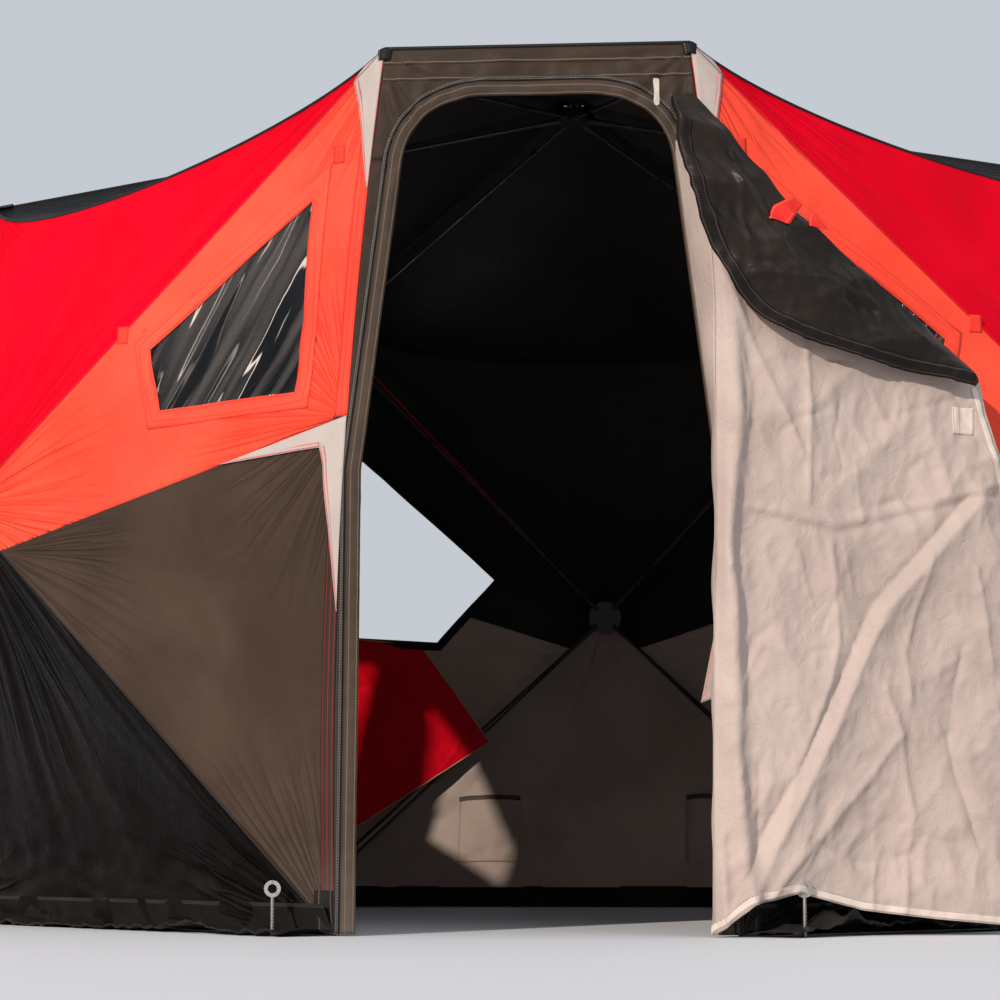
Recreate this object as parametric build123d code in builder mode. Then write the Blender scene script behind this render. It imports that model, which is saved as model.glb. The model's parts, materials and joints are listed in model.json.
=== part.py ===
from build123d import *
from math import acos, cos, radians, sin
import os

os.makedirs("parts", exist_ok=True)

# A pop-up fabric shelter for ice fishing, in millimetres and degrees.
# Six-sided plan: five wide walls, each pushed out by a hub and four poles, and a
# narrow door panel at the front (-Y). The origin is the middle of its bounding box
# on the ice, +Z up.

# Plan and heights
wall_length = 2000
door_width = 850
door_turn = 50  # angle between the door panel and the front walls
wall_height = 1940
wall_lean = 110  # top corners stand in from the wall's base line
door_lean = 65
hub_height = 980
hub_push = 410  # apex of a wall stands out from its base line
roof_hub_height = 2250
top_sag = 140
top_sag_reach = 0.78  # how flat the sagging top edge is, 1/3 being a parabola
sag_steps = 8
corner_bow = 45  # the front walls pull the door panel's edges outwards

# Cloth, drawn thicker than the real one so that it can be handled
cloth = 3
patch = 1.5
ground_gap = 2
seam_gap = 0.3
fit = 0.3

# Side panels: places are measured from the hub, across and up, in the panel's plane
seam_start = 120
seam_end_height = 140
window = [(959, 644), (925, 202), (549, 189), (521, 336)]
rear_opening = [(1000, 577), (1000, -90), (619, -100), (415, 120)]
wedge_drop = 316
wedge_width = 62
tail_drop = 430
tail_width = 70
arm_length = 340

# Doorway, seen from the front
opening_half_width = 386
arch_start_height = 1000
arch_shoulder = (300, 1690)
arch_crown = (110, 1833)
shoulder_pull = (285, 1780)
crown_pull = (215, 1833)

# Open door flap, along its own bottom line and up
flap_hinge = (388, -3.3)
flap_fold = (366, -44)
flap_swing = 25
flap_hem = [(0, 4), (63, 66), (191, 91), (344, 54), (683, 20), (760, 12)]
flap_edge = [(745, 900), (649, 1201), (612, 1232), (199, 1548), (22, 1721), (0, 1742)]
fold_outline = [(-95, 1776), (-84, 1668), (-39, 1518), (31, 1382), (112, 1300), (219, 1263),
                (364, 1228), (623, 1188), (612, 1232), (199, 1548), (22, 1721), (-36, 1788)]
strap_place = (214, 1545)
strap_size = (175, 26)
strap_turn = 24
pull_place = 262
pull_size = (14, 62)

# Poles and hubs; rods and their sockets are many, so they are drawn with few sides
rod_sides = 12
pole_radius = 5.5
pole_inset = 30
pole_end = 70
hub_depth = 46
hub_radius = 56
hub_thickness = 24
hub_sides = 24
spindle_radius = 11
cap_radius = 36
cap_height = 14
cap_rim = 4
ferrule_radius = 8
ferrule_length = 60
socket_depth = 14
roof_opening = 40

# Base
skirt_width = 150
skirt_thickness = 3
skirt_start = 4
anchor_radius = 4
anchor_height = 85
anchor_along = 100
anchor_out = 95
eye_radius = 14

# Inside the rear wall
pocket_size = (205, 235)
pocket_depth = 12
pocket_across = 380
pocket_rise = -790
cover_tilt = 5
cover_outline = [(0, 0), (305, -12), (535, -318), (14, -645)]

# Plan corners, clockwise seen from above, from the door's left edge
turn = radians(door_turn)
side_turn = acos((wall_length / 2 - door_width / 2 - wall_length * cos(turn)) / wall_length)
plan_depth = wall_length * (sin(turn) + sin(side_turn))
cap_reach = cloth + 2 * fit + cap_height
front = -(plan_depth + hub_push + cap_reach - skirt_width * cos(turn)) / 2

front_left_base = Vector(-door_width / 2, front)
mid_left_base = front_left_base + Vector(-cos(turn), sin(turn)) * wall_length
rear_left_base = mid_left_base + Vector(-cos(side_turn), sin(side_turn)) * wall_length


def mirrored(point):
    """The same point on the other side of the door's middle plane."""
    return Vector(-point.X, point.Y, point.Z)


plan = [front_left_base, mid_left_base, rear_left_base]
plan += [mirrored(corner) for corner in reversed(plan)]
wall_names = ["front_left", "left", "rear", "right", "front_right"]


def side_line(number, inset):
    """A point and a direction of one side of the plan, moved inwards."""
    start = plan[number % 6]
    along = (plan[(number + 1) % 6] - start).normalized()
    inwards = Vector(along.Y, -along.X)
    return start + inwards * inset, along


def crossing(number):
    """Top corner: where the two leaning walls beside a plan corner cross."""
    leans = [door_lean if side % 6 == 5 else wall_lean for side in (number - 1, number)]
    first, along = side_line(number - 1, leans[0])
    second, across = side_line(number, leans[1])
    normal = Vector(-across.Y, across.X)
    reach = (second - first).dot(normal) / along.dot(normal)
    return first + along * reach + Vector(0, 0, wall_height)


base_corners = [corner + Vector(0, 0, ground_gap) for corner in plan]
top_corners = [crossing(number) for number in range(6)]
roof_apex = Vector(0, front + plan_depth / 2, roof_hub_height)


class Wall:
    """One wide wall: its four corners, its apex and its outward direction."""

    def __init__(self, number):
        self.name = wall_names[number]
        self.base = (base_corners[number], base_corners[number + 1])
        self.top = (top_corners[number], top_corners[number + 1])
        along = (self.base[1] - self.base[0]).normalized()
        self.along = along
        self.out = Vector(-along.Y, along.X)
        middle = (self.base[0] + self.base[1]) / 2
        self.apex = Vector(middle.X, middle.Y, hub_height) + self.out * hub_push
        self.bows = [corner_bow if number == 0 else 0, corner_bow if number == 4 else 0]

    def top_plane(self):
        """The plane of the top triangle, drawn from the apex, +Y towards the roof."""
        rise = (self.top[0] + self.top[1]) / 2 - self.apex
        across = (self.top[1] - self.top[0]).normalized()
        return Plane(self.apex, x_dir=across, z_dir=rise.cross(across) * -1)

    def bottom_plane(self):
        """The plane of the bottom triangle, drawn from the apex, +Y upwards."""
        fall = (self.base[0] + self.base[1]) / 2 - self.apex
        return Plane(self.apex, x_dir=self.along, z_dir=fall.cross(self.along))

    def side_plane(self, end):
        """The plane of a side triangle, +X from the apex to the corner, +Y up."""
        up = self.top[end] - self.apex
        down = self.base[end] - self.apex
        normal = up.cross(down).normalized()
        across = Vector(0, 0, 1).cross(normal).normalized()
        if across.dot(down) < 0:
            across = across * -1
        plane = Plane(self.apex, x_dir=across, z_dir=normal)
        if plane.y_dir.Z < 0:
            plane = Plane(self.apex, x_dir=across, z_dir=normal * -1)
        return plane

    def outwards(self, plane):
        """+1 where the plane's own direction points out of the shelter."""
        return 1 if plane.z_dir.dot(self.out) > 0 else -1


walls = [Wall(number) for number in range(5)]


def flat(plane, point):
    """A point of the model in a plane's own two coordinates."""
    local = plane.to_local_coords(point)
    return local.X, local.Y


def finish(piece, name):
    """Label a finished piece and write it."""
    piece.part.label = name
    export_step(piece.part, f"parts/{name}.step")


def sagging_edge(start, end, towards):
    """Points along a sagging edge, taken from a cubic that is flatter than a parabola."""
    middle = (start + end) / 2
    down = (towards - middle).normalized()
    drop = down * (top_sag * 4 / 3 / abs(down.Z))
    half = (end - start) / 2
    curve = Edge.make_bezier(
        start, middle - half * top_sag_reach + drop, middle + half * top_sag_reach + drop, end
    )
    return [curve @ (step / sag_steps) for step in range(sag_steps + 1)]


def corner_edge(wall, end, share):
    """A point of the upright corner edge, bowed where it borders the door panel."""
    straight = wall.base[end] + (wall.top[end] - wall.base[end]) * share
    bow = wall.side_plane(end).x_dir * (wall.bows[end] * 4 * share * (1 - share))
    return straight - bow


def seam_share(wall, end):
    """Height of the seam across a side panel, as a share of the corner edge."""
    foot, head = [flat(wall.side_plane(end), point[end])[1] for point in (wall.base, wall.top)]
    return (seam_end_height - foot) / (head - foot)


def seam_start_point(wall, end):
    """Where the seam across a side panel meets the lower pole."""
    foot = flat(wall.side_plane(end), wall.base[end])
    return seam_start, foot[1] * seam_start / foot[0]


def is_open(wall, end):
    """The rear wall's left window has its cover unzipped and folded down."""
    return wall.name == "rear" and end == 0


def window_outline(wall, end):
    """The outline cut through a side panel."""
    return rear_opening if is_open(wall, end) else window


def spindle_hole(wall):
    """Outline of the hole for the hub's spindle through the sewn apex."""
    with BuildSketch(Plane(wall.apex - wall.out * hub_depth, z_dir=wall.out)) as hole:
        Circle(spindle_radius + fit)
    return hole.sketch


# Wide walls: four triangles of cloth that meet at the hub
for wall in walls:
    plane = wall.top_plane()
    edge = sagging_edge(wall.top[0], wall.top[1], wall.apex)
    with BuildPart() as top_panel:
        with BuildSketch(plane):
            with BuildLine():
                Polyline((0, 0), *[flat(plane, point) for point in edge], close=True)
            make_face()
        extrude(amount=cloth * wall.outwards(plane))
        extrude(spindle_hole(wall), amount=2 * hub_depth, mode=Mode.SUBTRACT)
    finish(top_panel, f"{wall.name}_top_panel")

    plane = wall.bottom_plane()
    with BuildPart() as bottom_panel:
        with BuildSketch(plane):
            with BuildLine():
                Polyline((0, 0), *[flat(plane, corner) for corner in wall.base], close=True)
            make_face()
        extrude(amount=cloth * wall.outwards(plane))
        extrude(spindle_hole(wall), amount=2 * hub_depth, mode=Mode.SUBTRACT)
    finish(bottom_panel, f"{wall.name}_bottom_panel")

    # Bright upper and dark lower side panels; a window is cut through the upper ones
    with BuildPart() as side_panels:
        for end in (0, 1):
            plane = wall.side_plane(end)
            share = seam_share(wall, end)
            head, middle, stop = [
                flat(plane, corner_edge(wall, end, place)) for place in (1, (1 + share) / 2, share)
            ]
            with BuildSketch(plane):
                with BuildLine():
                    Line((0, 0), head)
                    ThreePointArc(head, middle, stop) if wall.bows[end] else Line(head, stop)
                    Polyline(stop, seam_start_point(wall, end), (0, 0))
                make_face()
                with BuildLine():
                    Polyline(*window_outline(wall, end), close=True)
                make_face(mode=Mode.SUBTRACT)
            extrude(amount=cloth * wall.outwards(plane))
        extrude(spindle_hole(wall), amount=2 * hub_depth, mode=Mode.SUBTRACT)
    finish(side_panels, f"{wall.name}_side_panels")

    with BuildPart() as lower_panels:
        for end in (0, 1):
            plane = wall.side_plane(end)
            share = seam_share(wall, end)
            stop, middle, foot = [
                flat(plane, corner_edge(wall, end, place)) for place in (share, share / 2, 0)
            ]
            with BuildSketch(plane):
                with BuildLine():
                    Line(seam_start_point(wall, end), stop)
                    ThreePointArc(stop, middle, foot) if wall.bows[end] else Line(stop, foot)
                    Line(foot, seam_start_point(wall, end))
                make_face()
                if is_open(wall, end):
                    with BuildLine():
                        Polyline(*rear_opening, close=True)
                    make_face(mode=Mode.SUBTRACT)
            extrude(amount=cloth * wall.outwards(plane))
    finish(lower_panels, f"{wall.name}_lower_panels")

# Clear film in every window but the open one in the rear wall
with BuildPart() as window_panes:
    for wall in walls:
        for end in (0, 1):
            if not is_open(wall, end):
                plane = wall.side_plane(end)
                with BuildSketch(plane):
                    with BuildLine():
                        Polyline(*window, close=True)
                    make_face()
                    offset(amount=-fit, mode=Mode.REPLACE)
                extrude(amount=patch * wall.outwards(plane))
finish(window_panes, "window_panes")

# Pale corner wedges, sewn on the side panels where they meet the next wall
with BuildPart() as corner_wedges:
    for wall in walls:
        for end in (0, 1):
            plane = wall.side_plane(end)
            head, foot = [flat(plane, corner[end]) for corner in (wall.top, wall.base)]
            rise = head[1] - foot[1]
            low_share = 1 - wedge_drop / rise
            share = seam_share(wall, end)
            tail_share = share - tail_drop / rise
            places = (low_share, share, tail_share)
            edge = [flat(plane, corner_edge(wall, end, place)) for place in places]
            inner = 1 - wedge_width / head[0]
            start = seam_start_point(wall, end)
            arm = 1 - arm_length / (edge[1][0] - start[0])
            tip = tuple(first + (last - first) * arm for first, last in zip(start, edge[1]))
            surface = plane.offset(cloth * wall.outwards(plane))
            with BuildSketch(surface):
                with BuildLine():
                    Polyline(head, (head[0] * inner, head[1] * inner), edge[0], close=True)
                make_face()
                if not is_open(wall, end):
                    with BuildLine():
                        elbow = (edge[1][0] - tail_width, edge[1][1] - tail_width)
                        Polyline(tip, edge[1], edge[2], elbow, close=True)
                    make_face()
            extrude(amount=patch * wall.outwards(plane))
finish(corner_wedges, "corner_wedges")


def cap_profile(slope):
    """Half section of a hub's spindle through the cloth and the cap that clamps it."""
    under = hub_depth + cloth + fit * 2
    return [
        (0, 0),
        (spindle_radius, 0),
        (spindle_radius, under - spindle_radius * slope),
        (cap_radius, under - cap_radius * slope),
        (cap_radius, under - cap_radius * slope + cap_rim),
        (spindle_radius, under + cap_height),
        (0, under + cap_height),
    ]


def pole_path(centre, corner, inset):
    """Start, direction and length of a pole from a hub's centre to a corner pocket."""
    reach = corner + inset - centre
    along = reach.normalized()
    start = hub_radius - socket_depth + fit
    return centre + along * start, along, reach.length - pole_end - start


def hub_sockets(paths):
    """Outlines of the holes that the pole ends sit in."""
    holes = []
    for start, along, length in paths:
        with BuildSketch(Plane(start - along * fit, z_dir=along)) as hole:
            RegularPolygon(ferrule_radius + fit, rod_sides)
        holes.append(hole.sketch)
    return holes


ridge_slope = hub_push / (wall_length**2 / 4 + hub_height**2) ** 0.5
hub_centres = [wall.apex - wall.out * hub_depth for wall in walls]
wall_paths = []
for wall, centre in zip(walls, hub_centres):
    corners = wall.top + wall.base
    lifts = [Vector(0, 0, -pole_inset)] * 2 + [Vector(0, 0, pole_inset)] * 2
    wall_paths.append(
        [pole_path(centre, corner, lift - wall.out * pole_inset) for corner, lift in zip(corners, lifts)]
    )
roof_centre = roof_apex - Vector(0, 0, hub_depth)
roof_paths = [pole_path(roof_centre, corner, Vector(0, 0, -2 * pole_inset)) for corner in top_corners]

# Hubs: each wall's is drawn through the sewn apex, four poles plug into its rim
with BuildPart() as wall_hubs:
    for wall, centre, paths in zip(walls, hub_centres, wall_paths):
        with BuildSketch(Plane(centre, x_dir=wall.along, z_dir=Vector(0, 0, 1))):
            with BuildLine():
                Polyline(*cap_profile(ridge_slope), close=True)
            make_face()
        revolve(axis=Axis(centre, wall.out))
        with BuildSketch(Plane(centre, x_dir=wall.along, z_dir=wall.out)):
            RegularPolygon(hub_radius, hub_sides)
        extrude(amount=hub_thickness / 2, both=True)
        for socket in hub_sockets(paths):
            extrude(socket, amount=2 * socket_depth, mode=Mode.SUBTRACT)
finish(wall_hubs, "wall_hubs")

with BuildPart() as wall_poles:
    for paths in wall_paths:
        for start, along, length in paths:
            with BuildSketch(Plane(start, z_dir=along)):
                RegularPolygon(pole_radius, rod_sides)
            extrude(amount=length)
            with BuildSketch(Plane(start, z_dir=along)):
                RegularPolygon(ferrule_radius, rod_sides)
            extrude(amount=ferrule_length)
finish(wall_poles, "wall_poles")

roof_slope = (roof_hub_height - wall_height) / (top_corners[1] - roof_apex).length
with BuildPart() as roof_hub:
    with BuildSketch(Plane(roof_centre, x_dir=Vector(1, 0, 0), z_dir=Vector(0, -1, 0))):
        with BuildLine():
            Polyline(*cap_profile(roof_slope), close=True)
        make_face()
    revolve(axis=Axis(roof_centre, Vector(0, 0, 1)))
    with BuildSketch(Plane(roof_centre)):
        RegularPolygon(hub_radius, hub_sides)
    extrude(amount=hub_thickness / 2, both=True)
    for socket in hub_sockets(roof_paths):
        extrude(socket, amount=2 * socket_depth, mode=Mode.SUBTRACT)
finish(roof_hub, "roof_hub")

with BuildPart() as roof_poles:
    for start, along, length in roof_paths:
        with BuildSketch(Plane(start, z_dir=along)):
            RegularPolygon(pole_radius, rod_sides)
        extrude(amount=length)
        with BuildSketch(Plane(start, z_dir=along)):
            RegularPolygon(ferrule_radius, rod_sides)
        extrude(amount=ferrule_length)
finish(roof_poles, "roof_poles")

# Roof: each panel rises in narrow facets from a wall's sagging top edge to the roof hub
with BuildPart() as roof_panels:
    for number in range(6):
        first, last = top_corners[number], top_corners[(number + 1) % 6]
        aside = (last - first).normalized() * seam_gap
        first, last = first + aside, last - aside
        near = [roof_apex + (corner - roof_apex).normalized() * roof_opening for corner in (first, last)]
        near = [near[0] + aside, near[1] - aside]
        edge = sagging_edge(first, last, walls[number].apex) if number < 5 else [first, last]
        turning = len(edge) // 2
        facets = [(near[0] if step < turning else near[1], edge[step], edge[step + 1])
                  for step in range(len(edge) - 1)]
        facets.append((near[0], edge[turning], near[1]))
        for corners in facets:
            extrude(Face(Wire.make_polygon(corners)), amount=cloth, dir=(0, 0, 1))
finish(roof_panels, "roof_panels")

# Door panel: a sheet bowed in the upright direction, cut to its front view
front_left, front_right = walls[0], walls[4]


def front_view(point):
    """A point of the model as seen from the front."""
    return point.X, point.Z


with BuildSketch(Plane.YZ) as door_profile:
    with BuildLine():
        curve = [corner_edge(front_left, 0, share) for share in (0, 0.5, 1)]
        inside = [(point.Y, point.Z) for point in curve]
        outside = [(point.Y - cloth, point.Z) for point in curve]
        ThreePointArc(*inside)
        Line(inside[2], outside[2])
        ThreePointArc(*outside)
        Line(outside[0], inside[0])
    make_face()

with BuildSketch(Plane.XZ) as doorway:
    with BuildLine():
        for side in (-1, 1):
            start = (side * opening_half_width, arch_start_height)
            Polyline((0, 0), (side * opening_half_width, 0), start)
            Line(start, (side * arch_shoulder[0], arch_shoulder[1]))
            Bezier(
                (side * arch_shoulder[0], arch_shoulder[1]),
                (side * shoulder_pull[0], shoulder_pull[1]),
                (side * crown_pull[0], crown_pull[1]),
                (side * arch_crown[0], arch_crown[1]),
            )
            Line((side * arch_crown[0], arch_crown[1]), (0, arch_crown[1]))
    make_face()

split_height = arch_shoulder[1]
split_share = split_height / wall_height
for name, side in (("door_left_jamb", -1), ("door_right_jamb", 1)):
    outer = [front_view(corner_edge(front_left, 0, share)) for share in (0, split_share / 2, split_share)]
    outer = [(-side * (x + seam_gap), z) for x, z in outer]
    with BuildPart() as jamb:
        extrude(door_profile.sketch, amount=door_width, both=True)
        with BuildSketch(Plane.XZ):
            with BuildLine():
                ThreePointArc(*outer)
                within = side * arch_crown[0]
                Polyline(outer[2], (within, outer[2][1]), (within, outer[0][1]), outer[0])
            make_face()
            add(doorway.sketch, mode=Mode.SUBTRACT)
        extrude(amount=plan_depth, both=True, mode=Mode.INTERSECT)
    finish(jamb, name)

with BuildPart() as door_header:
    extrude(door_profile.sketch, amount=door_width, both=True)
    with BuildSketch(Plane.XZ):
        left = [front_view(corner_edge(front_left, 0, share)) for share in (split_share, 1)]
        low, high = [(x + seam_gap, z) for x, z in left]
        low = (low[0], low[1] + seam_gap)
        with BuildLine():
            Polyline(low, high, (-high[0], high[1]), (-low[0], low[1]), close=True)
        make_face()
        add(doorway.sketch, mode=Mode.SUBTRACT)
    extrude(amount=plan_depth, both=True, mode=Mode.INTERSECT)
finish(door_header, "door_header")

# Door flap, swung open to the right, its upper corner fallen over and strapped
door_y = front_left_base.Y
swing = radians(flap_swing)
flap_origin = Vector(flap_fold[0], door_y + flap_fold[1])
flap_along = Vector(cos(swing), sin(swing))
flap_plane = Plane(flap_origin, x_dir=flap_along, z_dir=Vector(sin(swing), -cos(swing)))

with BuildPart() as door_flap:
    with BuildSketch(flap_plane):
        with BuildLine():
            Polyline(*flap_hem, *flap_edge, close=True)
        make_face()
    extrude(amount=-cloth)
finish(door_flap, "door_flap")

with BuildPart() as door_flap_hinge:
    with BuildSketch(Plane.XY.offset(flap_hem[0][1])):
        with BuildLine():
            hinge = Vector(flap_hinge[0], door_y + flap_hinge[1])
            fold = flap_origin - flap_plane.z_dir * (cloth + fit)
            back = Vector(-cloth, 0)
            Polyline(hinge, fold, fold + back, hinge + back, close=True)
        make_face()
    extrude(amount=flap_edge[-1][1] - flap_hem[0][1])
finish(door_flap_hinge, "door_flap_hinge")

with BuildPart() as door_flap_fold:
    with BuildSketch(flap_plane.offset(fit)):
        with BuildLine():
            Polyline(*fold_outline, close=True)
        make_face()
    extrude(amount=cloth)
finish(door_flap_fold, "door_flap_fold")

with BuildPart() as flap_strap:
    with BuildSketch(flap_plane.offset(2 * fit + cloth)):
        with Locations(strap_place):
            Rectangle(*strap_size, rotation=strap_turn)
    extrude(amount=patch)
finish(flap_strap, "flap_strap")

# Rear window's cover, folded down on the inside
rear = walls[2]
rear_plane = rear.side_plane(0)
hinge_start = rear_plane.from_local_coords(rear_opening[1])
hinge_stop = rear_plane.from_local_coords(rear_opening[2])
hinge_along = (hinge_stop - hinge_start).normalized()
inwards = hinge_along.cross(Vector(0, 0, 1)).normalized()
if inwards.dot(rear.out) > 0:
    inwards = inwards * -1

with BuildPart() as rear_window_cover:
    tilted = (inwards * cos(radians(cover_tilt)) + Vector(0, 0, sin(radians(cover_tilt)))).normalized()
    with BuildSketch(Plane(hinge_start + inwards * fit, x_dir=hinge_along, z_dir=tilted)):
        with BuildLine():
            Polyline(*cover_outline, close=True)
        make_face()
    extrude(amount=cloth)
finish(rear_window_cover, "rear_window_cover")

with BuildPart() as storage_pockets:
    plane = rear.bottom_plane()
    with BuildSketch(plane):
        with Locations((-pocket_across, pocket_rise), (pocket_across, pocket_rise)):
            Rectangle(*pocket_size)
    extrude(amount=-pocket_depth * rear.outwards(plane))
finish(storage_pockets, "storage_pockets")


def ground_corner(number, distance):
    """A plan corner moved outwards on the ground, mitred between two walls."""
    if number in (0, 5):
        wall = walls[0] if number == 0 else walls[4]
        return plan[number] + wall.out * distance
    first, along = side_line(number - 1, -distance)
    second, across = side_line(number, -distance)
    normal = Vector(-across.Y, across.X)
    return first + along * ((second - first).dot(normal) / along.dot(normal))


# Ground skirt, lying flat on the ice, with the ice anchors through it
anchor_places = []
with BuildPart() as ground_skirt:
    for number, wall in enumerate(walls):
        start = [ground_corner(place, skirt_start) for place in (number, number + 1)]
        stop = [ground_corner(place, skirt_width) for place in (number, number + 1)]
        aside = wall.along * seam_gap
        with BuildSketch():
            with BuildLine():
                Polyline(start[0] + aside, start[1] - aside, stop[1] - aside, stop[0] + aside, close=True)
            make_face()
            for corner, along in ((plan[number], wall.along), (plan[number + 1], wall.along * -1)):
                place = corner + along * anchor_along + wall.out * anchor_out
                anchor_places.append(place)
                with Locations((place.X, place.Y)):
                    RegularPolygon(anchor_radius + fit, rod_sides, mode=Mode.SUBTRACT)
        extrude(amount=skirt_thickness)
finish(ground_skirt, "ground_skirt")

with BuildPart() as ice_anchors:
    for place in anchor_places:
        with BuildSketch(Plane(place)):
            RegularPolygon(anchor_radius, rod_sides)
        extrude(amount=anchor_height)
        centre = place + Vector(0, 0, anchor_height + eye_radius)
        with BuildSketch(Plane(centre, x_dir=(1, 0, 0), z_dir=(0, -1, 0))):
            RegularPolygon(eye_radius + anchor_radius, 2 * rod_sides)
            RegularPolygon(eye_radius - anchor_radius, 2 * rod_sides, mode=Mode.SUBTRACT)
        extrude(amount=anchor_radius, both=True)
finish(ice_anchors, "ice_anchors")

with BuildPart() as zipper_pull:
    behind = corner_edge(front_left, 0, arch_crown[1] / wall_height)
    place = (pull_place, behind.Y - cloth - fit, arch_crown[1])
    plane = Plane(place, x_dir=(1, 0, 0), z_dir=(0, -1, 0))
    with BuildSketch(plane):
        Rectangle(*pull_size)
    extrude(amount=patch)
finish(zipper_pull, "zipper_pull")
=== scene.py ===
import json

import bmesh
import bpy
import numpy as np
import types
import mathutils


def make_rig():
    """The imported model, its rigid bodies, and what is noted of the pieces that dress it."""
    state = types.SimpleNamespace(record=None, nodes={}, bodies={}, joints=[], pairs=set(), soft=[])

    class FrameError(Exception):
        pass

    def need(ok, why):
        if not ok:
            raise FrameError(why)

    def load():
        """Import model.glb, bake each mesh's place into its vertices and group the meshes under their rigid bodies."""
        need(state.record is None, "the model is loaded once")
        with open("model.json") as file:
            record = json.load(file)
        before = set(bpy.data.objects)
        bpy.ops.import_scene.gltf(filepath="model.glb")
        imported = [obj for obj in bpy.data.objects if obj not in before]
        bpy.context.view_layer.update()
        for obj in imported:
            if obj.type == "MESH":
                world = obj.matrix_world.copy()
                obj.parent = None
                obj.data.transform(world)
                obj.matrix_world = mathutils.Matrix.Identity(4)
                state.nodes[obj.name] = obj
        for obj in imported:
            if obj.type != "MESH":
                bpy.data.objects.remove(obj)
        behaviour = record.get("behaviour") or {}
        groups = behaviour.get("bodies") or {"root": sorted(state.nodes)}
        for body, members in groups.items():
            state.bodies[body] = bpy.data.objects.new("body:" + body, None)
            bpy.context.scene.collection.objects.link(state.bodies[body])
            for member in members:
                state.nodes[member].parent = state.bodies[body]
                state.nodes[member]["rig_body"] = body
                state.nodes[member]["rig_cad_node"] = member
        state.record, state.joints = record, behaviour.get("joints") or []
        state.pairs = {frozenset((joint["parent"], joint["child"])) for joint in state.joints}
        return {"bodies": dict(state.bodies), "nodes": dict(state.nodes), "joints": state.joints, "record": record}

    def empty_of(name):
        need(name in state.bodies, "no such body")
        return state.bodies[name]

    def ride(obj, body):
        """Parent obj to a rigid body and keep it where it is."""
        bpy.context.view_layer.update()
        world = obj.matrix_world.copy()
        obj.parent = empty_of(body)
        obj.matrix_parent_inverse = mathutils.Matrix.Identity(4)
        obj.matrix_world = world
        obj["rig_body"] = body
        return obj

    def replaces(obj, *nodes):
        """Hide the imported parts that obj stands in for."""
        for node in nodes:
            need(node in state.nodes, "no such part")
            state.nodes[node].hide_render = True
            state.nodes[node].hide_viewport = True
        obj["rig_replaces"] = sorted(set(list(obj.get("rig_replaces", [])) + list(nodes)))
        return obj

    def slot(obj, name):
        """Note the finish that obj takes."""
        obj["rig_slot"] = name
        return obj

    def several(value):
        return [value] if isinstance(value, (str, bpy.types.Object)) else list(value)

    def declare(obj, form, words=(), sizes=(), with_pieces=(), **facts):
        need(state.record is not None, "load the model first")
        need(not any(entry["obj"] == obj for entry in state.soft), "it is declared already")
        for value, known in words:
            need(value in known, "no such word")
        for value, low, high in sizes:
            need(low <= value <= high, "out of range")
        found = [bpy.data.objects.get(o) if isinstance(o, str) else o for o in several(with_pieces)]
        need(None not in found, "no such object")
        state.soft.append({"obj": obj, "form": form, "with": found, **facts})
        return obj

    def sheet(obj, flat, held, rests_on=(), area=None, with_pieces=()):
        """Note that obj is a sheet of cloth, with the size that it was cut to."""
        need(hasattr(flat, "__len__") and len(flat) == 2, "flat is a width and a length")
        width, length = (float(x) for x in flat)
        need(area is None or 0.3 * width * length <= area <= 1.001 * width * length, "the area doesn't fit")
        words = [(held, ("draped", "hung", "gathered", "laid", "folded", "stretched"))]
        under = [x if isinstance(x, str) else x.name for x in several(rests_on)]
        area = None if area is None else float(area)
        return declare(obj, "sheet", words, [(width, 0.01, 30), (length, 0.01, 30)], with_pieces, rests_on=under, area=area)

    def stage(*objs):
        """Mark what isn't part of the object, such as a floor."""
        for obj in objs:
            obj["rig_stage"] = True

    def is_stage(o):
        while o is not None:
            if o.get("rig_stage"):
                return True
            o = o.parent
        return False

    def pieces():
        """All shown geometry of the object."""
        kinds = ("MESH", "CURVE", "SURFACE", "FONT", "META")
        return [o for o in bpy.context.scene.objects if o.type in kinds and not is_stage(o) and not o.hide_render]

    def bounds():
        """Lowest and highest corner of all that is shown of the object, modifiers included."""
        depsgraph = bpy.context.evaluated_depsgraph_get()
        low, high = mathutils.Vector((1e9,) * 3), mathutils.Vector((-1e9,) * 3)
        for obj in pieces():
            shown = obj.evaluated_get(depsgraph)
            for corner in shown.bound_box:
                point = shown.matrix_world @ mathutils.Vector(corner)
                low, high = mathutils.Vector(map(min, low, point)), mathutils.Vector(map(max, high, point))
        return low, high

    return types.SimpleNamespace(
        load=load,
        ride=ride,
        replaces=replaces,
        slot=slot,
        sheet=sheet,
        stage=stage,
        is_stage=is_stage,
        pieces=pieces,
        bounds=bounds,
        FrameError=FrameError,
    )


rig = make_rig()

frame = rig.load()
cad_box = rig.bounds()

# The viewpoint: low over the ice, in front of the doorway and a little to its right,
# turned slightly left and tipped up. Distances are in metres from the middle of the
# shelter's footprint; the doorway faces -Y.
door_line = -1.8664
view = bpy.data.cameras.new("camera")
view.lens = 103.1
view.sensor_width = 36.0
camera = bpy.data.objects.new("camera", view)
camera.location = (0.386, door_line - 6.071, 0.171)
camera.rotation_euler = (np.pi / 2 + 0.1232, 0.0, 0.0760)
bpy.context.collection.objects.link(camera)
bpy.context.scene.camera = camera

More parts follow.
